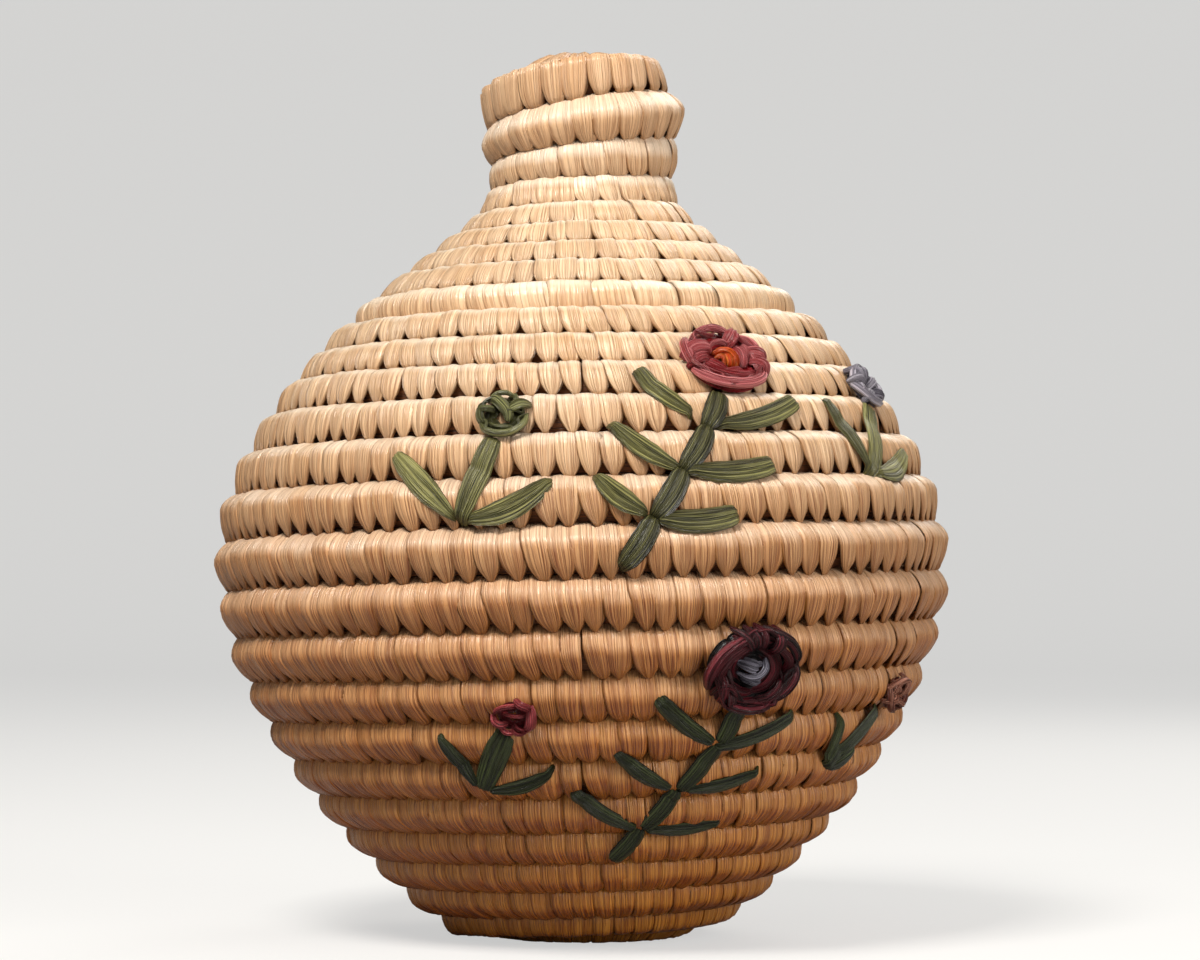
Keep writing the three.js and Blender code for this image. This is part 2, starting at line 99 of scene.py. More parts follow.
LID_EDGE_PITCH = 8.5
FLANGE_BUNDLE_RADIUS = 3.7
FLANGE_TURNS = (0.2, 1.7)
FLANGE_DIRECTION = 236
SEAT_GAP = 0.35

# How a hand-wound bundle swells, as a share of its size, and wanders off its line, in millimetres
BUNDLE_SWELL, BUNDLE_WANDER = 0.035, 0.22
FIRST_STACKED_TURN = 1.5
EYE_RADIUS = 0.05

# The camera stands where the photograph was taken from
CAMERA_DISTANCE = 726
CAMERA_HEIGHT = 72


def lerp(a, b, share):
    return a + (b - a) * share


def clamp(value, low=0.0, high=1.0):
    return max(low, min(high, value))


def smooth(share):
    share = clamp(share)
    return share * share * (3 - 2 * share)


def drift(x, y=0.0, z=0.0):
    """A number between -1 and 1 that wanders smoothly with its place, the same in each run."""
    return noise.noise(Vector((x, y, z)))


def halved(low, high, steps, falls_short):
    """The last place tried in halving a range, towards where falls_short stops being true."""
    for _ in range(steps):
        middle = (low + high) / 2
        if falls_short(middle):
            low = middle
        else:
            high = middle
    return middle


def section_radius(spacing, bend=0.0):
    """A bundle's size where its turns lie this far apart, and less where the wall bends."""
    return (spacing - TURN_GAP) / (2 * cos(CROSSING_ANGLE - bend / 2))


BASE_HEIGHT = section_radius(PITCHES[0][1]) * (1 - WORN_FLAT_SHARE)


def offset(x, y, distance, angle):
    return x + distance * cos(radians(angle)), y + distance * sin(radians(angle))


def bezier(controls, steps):
    """Points along a Bezier curve of any degree, without its first one."""
    points = []
    for i in range(1, steps + 1):
        row = [Vector(p) for p in controls]
        while len(row) > 1:
            row = [a.lerp(b, i / steps) for a, b in zip(row, row[1:])]
        points.append(row[0])
    return points


class Wall:
    """The middle line of the wall in section, from the centre of the base to the centre of the knob's top."""

    def __init__(self):
        foot = (FOOT_RADIUS, BASE_HEIGHT)
        belly = (BELLY_RADIUS, BELLY_HEIGHT)
        mouth = (MOUTH_RADIUS, MOUTH_HEIGHT)
        neck = (NECK_RADIUS, NECK_HEIGHT)
        side = (KNOB_RADIUS, KNOB_SIDE_HEIGHT)
        crown = (KNOB_CROWN_RADIUS, KNOB_TOP_HEIGHT)
        stretches = (
            ((0, BASE_HEIGHT), foot),
            (
                foot,
                offset(*foot, FULLNESS_BELOW, FOOT_SLOPE),
                (belly[0], belly[1] - FULLNESS_BELOW),
                belly,
            ),
            (
                belly,
                (belly[0], belly[1] + FULLNESS_ABOVE),
                offset(*mouth, -FULLNESS_ABOVE, MOUTH_SLOPE),
                mouth,
            ),
            (
                mouth,
                offset(*mouth, FULLNESS_BELOW, MOUTH_SLOPE + NECK_SWEEP),
                (neck[0], neck[1] - NECK_SWEEP),
                neck,
            ),
            (neck, (neck[0], neck[1] + NECK_SWEEP), (side[0], side[1] - NECK_SWEEP), side),
            (side, (side[0], crown[1]), crown),
            (crown, (0, crown[1])),
        )
        self.points = [Vector((0, BASE_HEIGHT))]
        for controls in stretches:
            self.points += bezier(controls, OUTLINE_STEPS)
        self.arcs = [0.0]
        for a, b in zip(self.points, self.points[1:]):
            self.arcs.append(self.arcs[-1] + (b - a).length)
        self.length = self.arcs[-1]

    def at(self, arc):
        """The point this far along. The line runs straight on past the axis at both ends."""
        if arc <= 0:
            return Vector((arc, BASE_HEIGHT))
        if arc >= self.length:
            return Vector((self.length - arc, KNOB_TOP_HEIGHT))
        after = bisect_left(self.arcs, arc)
        share = (arc - self.arcs[after - 1]) / (self.arcs[after] - self.arcs[after - 1])
        return self.points[after - 1].lerp(self.points[after], share)

    def angle(self, arc, reach=4.2):
        run = self.at(arc + reach) - self.at(arc - reach)
        return atan2(run.y, run.x)


wall = Wall()


def arc_at(turn):
    """How far the coil has come along the wall after a number of turns."""
    arc = 0.0
    for i, (start, pitch) in enumerate(PITCHES):
        end, next_pitch = PITCHES[i + 1] if i + 1 < len(PITCHES) else (None, pitch)
        span = (turn if end is None else min(turn, end)) - start
        share = 0 if end is None else span / (end - start)
        arc += span * (pitch + share * (next_pitch - pitch) / 2)
        if end is None or turn <= end:
            return arc


def turn_at(arc):
    """How many turns the coil has made when it has come this far along the wall."""
    low, high = 0.0, arc / LEAST_PITCH
    while high - low > 1e-4:
        middle = (low + high) / 2
        if arc_at(middle) < arc:
            low = middle
        else:
            high = middle
    return low


def coil_point(turn):
    return wall.at(arc_at(turn))


def stack_angle(turn):
    """The slope of the wall at a turn, taken from the turns half above and half below."""
    run = coil_point(turn + 0.5) - coil_point(turn - 0.5)
    return atan2(run.y, run.x)


def spacing_at(turn):
    here = coil_point(turn)
    return min((coil_point(turn + side) - here).length for side in (-1, 1))


def crest_at(turn):
    """How far the outside of the bundle lies from its middle line."""
    bends = [abs(stack_angle(turn + side) - stack_angle(turn)) for side in (-1, 1)]
    spacings = [(coil_point(turn + side) - coil_point(turn)).length for side in (-1, 1)]
    return min(section_radius(s, b) for s, b in zip(spacings, bends))


def facing_out(turn):
    """The direction in section that the coil's outside faces, times the bundle's size."""
    along = stack_angle(turn)
    return Vector((sin(along), -cos(along))) * crest_at(turn)


class CoilPlace:
    """One section of a coil, in metres: its middle, half the way up to the next turn and down to the last
    one, and how far out this turn and the one below it reach. A coil's end is thin, and lies to one side of
    its room, above or below. A coil off the wall has its section fixed by a function of the turn."""

    def __init__(self, turn, thin=1.0, side=0, fixed=None):
        middle, reach = coil_point(turn), facing_out(turn)
        rise, fall = ((coil_point(turn + step) - middle) / 2 for step in (1, -1))
        below = facing_out(turn - 1) if turn > FIRST_STACKED_TURN else reach
        if fixed:
            middle, half, size = fixed(turn)
            rise, reach = rise.normalized() * half, reach.normalized() * size
            below, fall = reach, -rise
        swell = 1 + BUNDLE_SWELL * drift(turn * 3.3, 9.1)
        middle = middle + (rise if side > 0 else fall) * abs(side) * (1 - thin)
        middle += reach.normalized() * BUNDLE_WANDER * drift(turn * 2.1, 3.7)
        azimuth = FRONT + 2 * pi * (turn - FRONT_TURN)
        spoke = Vector((cos(azimuth), sin(azimuth), 0))

        def upright(flat, size=1.0):
            return (spoke * flat.x + Vector((0, 0, flat.y))) * MM * size

        self.turn = turn
        self.centre = upright(Vector((max(middle.x, EYE_RADIUS), middle.y)))
        self.rise, self.fall = upright(rise, thin), upright(fall, thin)
        self.reach, self.reach_below = upright(reach, swell), upright(below, swell)

    def around(self, up, out):
        """A point of the section, up and out from its middle in shares of the bundle's size."""
        down = max(-up, 0)
        reach = self.reach.lerp(self.reach_below, down / 2)
        return self.centre + self.rise * max(up, 0) + self.fall * down + reach * out


def slanted(spot):
    """Where a point of the knob goes, in metres, as its rows rise to the right."""
    low, high = SLANT_HEIGHTS
    share = clamp((spot.z / MM - low) / (high - low))
    return spot + Vector((0, 0, spot.x * tan(radians(KNOB_SLANT)) * sin(pi * share ** SLANT_SKEW)))


def coil_places(first, last, steps=48, thin=None, **settings):
    count = ceil((last - first) * steps)
    turns = [lerp(first, last, i / count) for i in range(count + 1)]
    return [CoilPlace(t, thin=thin(t) if thin else 1.0, **settings) for t in turns]


def wall_table():
    """The turn, the bundle's size and the spacing of the rows, at each millimetre along the wall."""
    table = []
    for arc in range(ceil(wall.length)):
        turn = turn_at(arc)
        table.append((turn, crest_at(max(turn, 1.0)), spacing_at(max(turn, 1.0))))
    return table


WALL_TABLE = wall_table()
TURN_COLUMN, CREST_COLUMN, SPACING_COLUMN = range(3)


def on_table(arc, column):
    low = int(clamp(arc, 0, len(WALL_TABLE) - 2))
    return lerp(WALL_TABLE[low][column], WALL_TABLE[low + 1][column], clamp(arc - low))


def crest_height(arc):
    return on_table(arc, CREST_COLUMN)


def row_height(arc, azimuth):
    """The height of the rounded rows over the wall's middle line: full on a crest, least in a groove."""
    turn_here = FRONT_TURN + (azimuth - FRONT) / (2 * pi)
    row = turn_here + round(on_table(arc, TURN_COLUMN) - turn_here)
    share = 2 * abs(arc - arc_at(row)) / on_table(arc, SPACING_COLUMN)
    return crest_height(arc) * sqrt(1 - min(share, 0.98) ** 2)


def over_wall(arc, azimuth, height):
    """A point over the wall, in metres, at a height off its middle line in millimetres."""
    here, along = wall.at(arc), wall.angle(arc)
    r, z = here.x + height * sin(along), here.y - height * cos(along)
    return Vector((r * cos(azimuth), r * sin(azimuth), z)) * MM


def skin_at(height):
    """How far along the wall its outside reaches this height, and its radius there."""

    def outside(arc):
        return over_wall(arc, 0, crest_height(arc)) / MM

    arc = halved(FOOT_RADIUS, arc_at(MOUTH_TURN), 30, lambda tried: outside(tried).z < height)
    return arc, outside(arc).x


def seen_at(x, z):
    """The place on the wall, as distance along it and azimuth, that the camera sees at a point of the
    upright plane through the axis."""
    eye, target = Vector((0, -CAMERA_DISTANCE, CAMERA_HEIGHT)), Vector((x, 0, z))

    def in_front(share):
        point = eye.lerp(target, share)
        return hypot(point.x, point.y) >= skin_at(point.z)[1]

    point = eye.lerp(target, halved(0.8, 1.0, 24, in_front))
    return skin_at(point.z)[0], atan2(point.y, point.x)


def thins_at_mouth(turn):
    """The body's last turn thins out under the start of the lid's first."""
    return lerp(1, 0.1, smooth((turn - MOUTH_TURN) / SCARF_TURNS))


def thickens_from_mouth(turn):
    """The lid's first turn starts thin, a little slower than the body's last one ends."""
    return lerp(0.12, 1, smooth((turn - MOUTH_TURN) / (SCARF_TURNS * 1.4)))


def flange_section(turn):
    """The inner coil's section, beside the lid's own: its middle, half height and how far out it reaches."""
    beside, along, flat = coil_point(turn), stack_angle(turn), cos(CROSSING_ANGLE)
    normal = along + pi / 2 + CROSSING_ANGLE
    reach = (section_radius(LID_EDGE_PITCH) + FLANGE_BUNDLE_RADIUS) * flat + SEAT_GAP
    distance = reach / cos(radians(FLANGE_DIRECTION) - normal)
    centre = Vector(offset(*beside, distance, FLANGE_DIRECTION))
    return centre, FLANGE_BUNDLE_RADIUS * flat, FLANGE_BUNDLE_RADIUS


# Shader and geometry maths, written as expressions


def maths(operation, kind="ShaderNodeMath", swapped=False):
    """A method of Wire that makes one Math or Vector Math node. A swapped one takes its own value last."""

    def method(self, *others):
        node = self.tree.nodes.new(kind)
        node.operation = operation
        values = (self, *others)
        for socket, value in zip(node.inputs, reversed(values) if swapped else values):
            plug(self.tree, value, socket)
        return Wire(self.tree, node.outputs[0])

    return method


class Wire:
    """An output socket of a node tree, with Python's operators as Math and Vector Math nodes."""

    __add__ = __radd__ = maths("ADD")
    __sub__ = maths("SUBTRACT")
    __rsub__ = maths("SUBTRACT", swapped=True)
    __mul__ = __rmul__ = maths("MULTIPLY")
    __truediv__ = maths("DIVIDE")
    sine = maths("SINE")
    absolute = maths("ABSOLUTE")
    rounded_down = maths("FLOOR")
    at_least = maths("MAXIMUM")
    at_most = maths("MINIMUM")
    plus = maths("ADD", "ShaderNodeVectorMath")

    def __init__(self, tree, source):
        self.tree = tree
        self.source = source

    def times(self, factor):
        node = self.tree.nodes.new("ShaderNodeVectorMath")
        node.operation = "SCALE"
        plug(self.tree, self, node.inputs[0])
        plug(self.tree, factor, node.inputs["Scale"])
        return Wire(self.tree, node.outputs[0])


def plug(tree, value, socket):
    if isinstance(value, Wire):
        value = value.source
    if isinstance(value, bpy.types.NodeSocket):
        tree.links.new(value, socket)
    else:
        socket.default_value = value


class Nodes:
    """Makes nodes in one tree: a type, its settings, and values or links for its sockets."""

    def __init__(self, tree):
        self.tree = tree
        tree.nodes.clear()

    def add(self, kind, out=0, sockets=None, **settings):
        node = self.tree.nodes.new(kind)
        for key, value in settings.items():
            setattr(node, key, value)
        for key, value in (sockets or {}).items():
            plug(self.tree, value, node.inputs[key])
        return node if out is None else Wire(self.tree, node.outputs[out])

    def split(self, vector):
        node = self.add("ShaderNodeSeparateXYZ", None, {"Vector": vector})
        return [Wire(self.tree, out) for out in node.outputs]

    def join(self, x=0.0, y=0.0, z=0.0):
        return self.add("ShaderNodeCombineXYZ", 0, {"X": x, "Y": y, "Z": z})

    def ramp(self, factor, *stops):
        """A colour ramp through stops of (place, colour), or a grey one through (place, number)."""
        node = self.tree.nodes.new("ShaderNodeValToRGB")
        elements = node.color_ramp.elements
        while len(elements) < len(stops):
            elements.new(0.5)
        for element, (place, colour) in zip(elements, stops):
            element.position = place
            element.color = (*colour, 1) if isinstance(colour, tuple) else (colour, colour, colour, 1)
        plug(self.tree, factor, node.inputs[0])
        return Wire(self.tree, node.outputs[0])

    def noise(self, vector, scale, detail, roughness):
        sockets = {"Vector": vector, "Scale": scale, "Detail": detail, "Roughness": roughness}
        return self.add("ShaderNodeTexNoise", 0, sockets)

    def mix(self, factor, a, b, blend="MIX"):
        node = self.add("ShaderNodeMix", None, data_type="RGBA", blend_type=blend)
        for socket, value in zip((node.inputs[0], node.inputs[6], node.inputs[7]), (factor, a, b)):
            plug(self.tree, (*value, 1) if isinstance(value, tuple) else value, socket)
        return Wire(self.tree, node.outputs[2])

    def bump(self, height, distance):
        return self.add("ShaderNodeBump", 0, {"Height": height, "Strength": 1.0, "Distance": distance})


def linear(colour):
    """A colour written as it looks, as the linear values that Blender's sockets take."""
    return tuple(c / 12.92 if c <= 0.04045 else ((c + 0.055) / 1.055) ** 2.4 for c in colour)


def new_material(name):
    material = bpy.data.materials.new(name)
    material.use_nodes = True
    nodes = Nodes(material.node_tree)
    shader = nodes.add("ShaderNodeBsdfPrincipled", None)
    nodes.add("ShaderNodeOutputMaterial", None, {"Surface": shader.outputs[0]})
    return material, nodes, shader


def strand_coordinates(nodes):
    """Across and along each strip, from its own map, with the strip's random tint as the third number."""
    across, along, _ = nodes.split(nodes.add("ShaderNodeUVMap", uv_map="strand"))
    tint = nodes.add("ShaderNodeAttribute", "Fac", attribute_name="tint")
    return across, along, tint


def strand_noise(nodes, strand, scales, detail, roughness):
    """Noise drawn out along each strip. Its scales are across, along and from one strip's tint to another."""
    stretched = [part * scale for part, scale in zip(strand, scales)]
    return nodes.noise(nodes.join(*stretched), 1.0, detail, roughness)


def hairlines(noise, sharpness=13):
    """Thin lines where the noise passes its middle value: 0 in a line and 1 beside it."""
    return ((noise - 0.5).absolute() * sharpness).at_most(1.0)


# How brown and dark the grass is painted by height, as a share of the first height: partly its own ageing
# and partly painted shade on the lower rows. And how much handling has turned the knob brown, by height as a
# share of HANDLED_BY. Both heights are in metres
AGED_AND_SHADED_BELOW, AGING_AND_SHADE = 0.14, ((0.1, 1.0), (0.32, 0.85), (0.47, 0.66), (0.61, 0.32), (0.75, 0.07), (0.93, 0.0))
HANDLED_BY, HANDLING = 0.2, ((0.74, 0.0), (0.82, 0.22))

# Where along a stitch its lower half and its tip begin, and where across it its edges do. The lower half is
# painted darker, partly as wear and partly as painted shade where it faces down
LOWER_HALF, TIP, EDGE = ((0.50, 0.0), (0.60, 1.0)), ((0.74, 0.0), (1.0, 1.0)), ((0.80, 0.0), (0.95, 1.0))
# The most that tips and edges are darkened: browner grass and painted shade together
MOST_BROWNED_AND_SHADED = 0.85


def grass_material():
    """Split grass blades, satin and straw pale, with fine lengthwise fibres and browner edges and tips.
    Painted shade darkens the lower halves, seams and tips of the stitches and the lower rows.
    """
    settings = bpy.context.scene.basket_grass
    material, nodes, shader = new_material("stitch_grass")
    across, along, tint = strand = strand_coordinates(nodes)
    place = nodes.add("ShaderNodeTexCoord", "Object")
    height = nodes.split(place)[2]
    fine = strand_noise(nodes, strand, (26, 1.1, 61), 3.0, 0.65)
    lines = hairlines(strand_noise(nodes, strand, (10, 0.5, 37), 2.0, 0.5))
    patches = nodes.noise(place, 45.0, 2.0, 0.5)
    colour = nodes.ramp(
        tint * 0.5 + (patches - 0.5) * 0.8 + 0.25,
        (0.0, linear(settings.dark)),
        (0.3, linear(settings.middle)),
        (0.7, linear(settings.pale)),
        (1.0, linear(settings.palest)),
    )
    # Browner and darker lower down: partly the grass's own ageing, partly painted shade on the lower rows
    aging_and_shade = nodes.ramp(height / AGED_AND_SHADED_BELOW, *AGING_AND_SHADE)
    handled = nodes.ramp(height / HANDLED_BY, *HANDLING)
    colour = nodes.mix(aging_and_shade + handled, colour, linear(settings.aged_and_shaded), "MULTIPLY")
    # Darker lower half of each stitch: partly wear, partly painted shade where it faces down
    lower = nodes.ramp(along + (fine - 0.5) * 0.16, *LOWER_HALF)
    colour = nodes.mix(lower * (aging_and_shade * 0.4 + 0.6), colour, linear(settings.under), "MULTIPLY")
    fibres = nodes.ramp(fine, (0.36, linear(settings.streak)), (0.56, (1.0, 1.0, 1.0)))
    # Fibres and hairlines darken more on lower halves and lower rows: the grass's own streaks, with painted
    # shade over them
    worn_and_shaded = lower * 0.35 + aging_and_shade * 0.6
    colour = nodes.mix((worn_and_shaded + 0.15).at_most(1.0), colour, fibres, "MULTIPLY")
    colour = nodes.mix((1 - lines) * (worn_and_shaded * 0.7 + 0.1), colour, linear(settings.streak), "MULTIPLY")
    # Browner edges and tips: partly the grass's own colour, partly painted shade in the seams between
    # stitches and where tips dive into the groove below, stronger on lower halves and lower rows
    edge = nodes.ramp((across - 0.5).absolute() * 2, *EDGE)
    tip = nodes.ramp(along, *TIP)
    browned_and_shaded = edge * (lower * 0.4 + aging_and_shade * 0.3 + 0.25) + tip * (aging_and_shade * 0.45 + 0.3)
    colour = nodes.mix(browned_and_shaded.at_most(MOST_BROWNED_AND_SHADED), colour, linear(settings.tip))
    plug(nodes.tree, colour, shader.inputs["Base Color"])
    plug(nodes.tree, 0.42 - fine * 0.26, shader.inputs["Roughness"])
    shader.inputs["Specular IOR Level"].default_value = 0.6
    plug(nodes.tree, nodes.bump(fine * 0.6 + lines * 0.4, 0.0003), shader.inputs["Normal"])
    return material


def foundation_material():
    """The bundle inside the stitches: brown grass stalks that run along the coil, painted dark as shade,
    since it shows only in the holes between stitches.
    """
    settings = bpy.context.scene.basket_grass
    material, nodes, shader = new_material("coil_foundation")
    around, along, _ = nodes.split(nodes.add("ShaderNodeUVMap", uv_map="strand"))
    stalks = nodes.noise(nodes.join(around * 38, along * 0.09, 0.0), 1.0, 3.0, 0.6)
    # Dark tones that stand for the shade in the holes between stitches
    colour = nodes.ramp(
        stalks, (0.32, linear(settings.gap)), (0.58, linear(settings.stalk)), (0.8, linear(settings.tip)),
    )
    plug(nodes.tree, colour, shader.inputs["Base Color"])
    shader.inputs["Roughness"].default_value = 0.6
    plug(nodes.tree, nodes.bump(stalks, 0.0008), shader.inputs["Normal"])
    return material


def raffia_material(name, dark, pale):
    """Dyed raffia: glossy lengthwise fibres, streaked from a dark to a paler tone of the dye."""
    material, nodes, shader = new_material(name)
    strand = strand_coordinates(nodes)
    fibres = strand_noise(nodes, strand, (30, 0.6, 47), 4.0, 0.7)
    broad = strand_noise(nodes, strand, (5, 0.5, 19), 2.0, 0.55)
    lines = hairlines(strand_noise(nodes, strand, (8, 0.25, 83), 1.0, 0.5))
    tone = fibres * 0.75 + broad * 0.2 + strand[2] * 0.25 - 0.1
    colour = nodes.ramp(tone, (0.42, linear(dark)), (0.68, linear(pale)))
    colour = nodes.mix((1 - lines) * 0.75, colour, linear(dark))
    plug(nodes.tree, colour, shader.inputs["Base Color"])
    plug(nodes.tree, fibres * 0.3 + 0.16, shader.inputs["Roughness"])
    shader.inputs["Specular IOR Level"].default_value = 0.5
    plug(nodes.tree, nodes.bump(fibres * 0.5 + lines * 0.5, 0.0006), shader.inputs["Normal"])
    return material


def material(name, maker, *details):
    """The material of this name, made once."""
    return bpy.data.materials.get(name) or maker(*details)


# Meshes


def mesh_object(name, vertices, faces, maps=None, tint=None, materials=()):
    """A plain mesh at the origin. maps gives (across, along) for each vertex, for the strand map."""
    mesh = bpy.data.meshes.new(name)
    mesh.from_pydata([tuple(v) for v in vertices], [], faces)
    for item in materials:
        mesh.materials.append(item)
    if maps:
        layer = mesh.uv_layers.new(name="strand")
        for loop in mesh.loops:
            layer.data[loop.index].uv = maps[loop.vertex_index]
    if tint is not None:
        values = tint if isinstance(tint, list) else [tint] * len(vertices)
        store_floats(mesh, "tint", values)
    for polygon in mesh.polygons:
        polygon.use_smooth = True
    mesh.update()
    piece = bpy.data.objects.new(name, mesh)
    bpy.context.scene.collection.objects.link(piece)
    return piece


def tube_faces(rings, sides):
    """Faces of a closed tube whose points run ring after ring, with its two ends filled."""
    faces = []
    for i in range(rings - 1):
        for j in range(sides):
            a, b = i * sides + j, i * sides + (j + 1) % sides
            faces.append((a, b, b + sides, a + sides))
    faces.append(tuple(reversed(range(sides))))
    faces.append(tuple(range((rings - 1) * sides, rings * sides)))
    return faces


def finish_piece(piece, body, slot, node):
    """Makes the piece move with its body and hides the part of model.glb that it stands for. The slot is not
    used.
    """
    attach(piece, body)
    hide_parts(node)


# The stitched coils

# One stitch in section, as places along it: up and out from the bundle's middle in shares of its own size,
# and its widths as shares of the spacing, drawn to a point and cut square. It comes from behind over the
# bundle's outside, and goes straight into the row below
STITCHES = {
    "pointed_stitch": (
        (0.66, -0.50, 1.06, 1.06),
        (0.98, -0.10, 1.16, 1.16),
        (0.96, 0.38, 1.20, 1.20),
        (0.62, 0.84, 1.20, 1.20),
        (0.16, 1.07, 1.18, 1.18),
        (-0.28, 1.04, 1.15, 1.16),
        (-0.68, 0.93, 0.98, 1.14),
        (-0.99, 0.78, 0.60, 1.00),
        (-1.17, 0.69, 0.30, 0.72),
        (-1.31, 0.34, 0.16, 0.44),
    ),
    "short_stitch": (
        (0.66, -0.50, 1.06, 1.06),
        (0.98, -0.10, 1.18, 1.18),
        (1.00, 0.42, 1.22, 1.22),
        (0.64, 0.84, 1.22, 1.22),
        (0.20, 1.05, 1.20, 1.20),
        (-0.28, 1.04, 1.19, 1.20),
        (-0.68, 0.95, 1.10, 1.20),
        (-0.97, 0.84, 0.82, 1.12),
        (-1.13, 0.75, 0.58, 0.98),
        (-1.28, 0.38, 0.40, 0.70),
    ),
    "plain_wrap": tuple(
        (0.99 * sin(radians(a)), 1.03 * cos(radians(a)), 1.14, 1.14) for a in range(120, -121, -20)
    ),
    "inside_stitch": (
        (0.76, -0.50, 0.92, 0.95),
        (0.98, 0.15, 1.08, 1.10),
        (0.60, 0.80, 1.08, 1.10),
        (0.00, 1.00, 1.00, 1.08),
        (-0.60, 0.82, 0.75, 0.90),
        (-1.05, 0.50, 0.30, 0.50),
    ),
}

# A strip's section: places across it from its left edge, which laps over the next strip, to its right edge,
# which goes under, and their height over the stitch's own line
LAPPED_SECTION = ((-1, -0.05), (-0.84, 0.03), (-0.4, 0.05), (0.1, 0.05), (0.55, 0.02), (1, -0.08))
PLAIN_SECTION = ((-1.0, -0.05), (-0.6, 0.02), (0.2, 0.02), (1.0, -0.06))
STRIP_DEPTH = 0.22
TEMPLATE_ATTRIBUTES = ("pointed", "square", "across", "down")


def store_floats(mesh, attribute, values):
    mesh.attributes.new(attribute, "FLOAT", "POINT").data.foreach_set("value", values)


def stitch_template(name):
    """One stitch in flat space, as a closed strip: y up and z out in shares of the bundle, and x, which the
    node tree works out from its attributes, along the coil in shares of the spacing."""
    outline = STITCHES[name]
    inside = name == "inside_stitch"
    section = PLAIN_SECTION if inside else LAPPED_SECTION
    steps = (len(outline) - 1) * (1 if inside else 2)
    vertices, maps = [], []
    floats = {attribute: [] for attribute in TEMPLATE_ATTRIBUTES}
    length = 0.0
    last = None
    for i in range(steps + 1):
        up, out, point_width, square_width = through(outline, i / steps)
        middle = Vector((0, up, out))
        length += (middle - last).length if last else 0
        last = middle
        for across, lift in (*section, (0.0, -STRIP_DEPTH)):
            spot = middle + middle.normalized() * lift
            vertices.append((0, spot.y, spot.z))
            maps.append((across / 2 + 0.5, length))
            floats["pointed"].append(across * point_width / 2)
            floats["square"].append(across * square_width / 2)
            floats["across"].append(across)
    maps = [(u, v / length) for u, v in maps]
    floats["down"] = [v for _, v in maps]
    template = mesh_object(name, vertices, tube_faces(steps + 1, len(section) + 1), maps)
    for attribute, values in floats.items():
        store_floats(template.data, attribute, values)


# What each stitch draws at random, between two values, and the number that its draw adds to the coil's seed
STITCH_DRAWS = (
    ("tint", 0.0, 1.0, 2),
    ("girth", 0.99, 1.15, 3),
    ("cut", -0.25, 0.25, 4),
    ("slope", 0.4, 1.6, 5),
    ("swell", -1.0, 1.0, 6),
    ("dip", -1.0, 1.0, 7),
    ("pleats", 2.0, 8.0, 8),
    ("fold", 0.0, 6.3, 9),
)

# The node tree's inputs: name, kind of socket and value where the caller gives none
STITCH_INPUTS = (
    ("Geometry", "Geometry", None),
    ("Stitch", "Object", None),
    ("Spacing", "Float", 0.005),
    ("Side", "Float", 1.0),
    ("Lean", "Float", 0.4),
    ("Squareness", "Float", 0.3),
    ("Unevenness", "Float", 0.06),
    ("Seed", "Int", 1),
    ("Material", "Material", None),
)

# How much a stitch differs from the next, in shares of the bundle's size
SWELLING, DIPPING, TIP_SHIFT, PLEAT_DEPTH = 0.02, 0.16, 0.4, 0.04


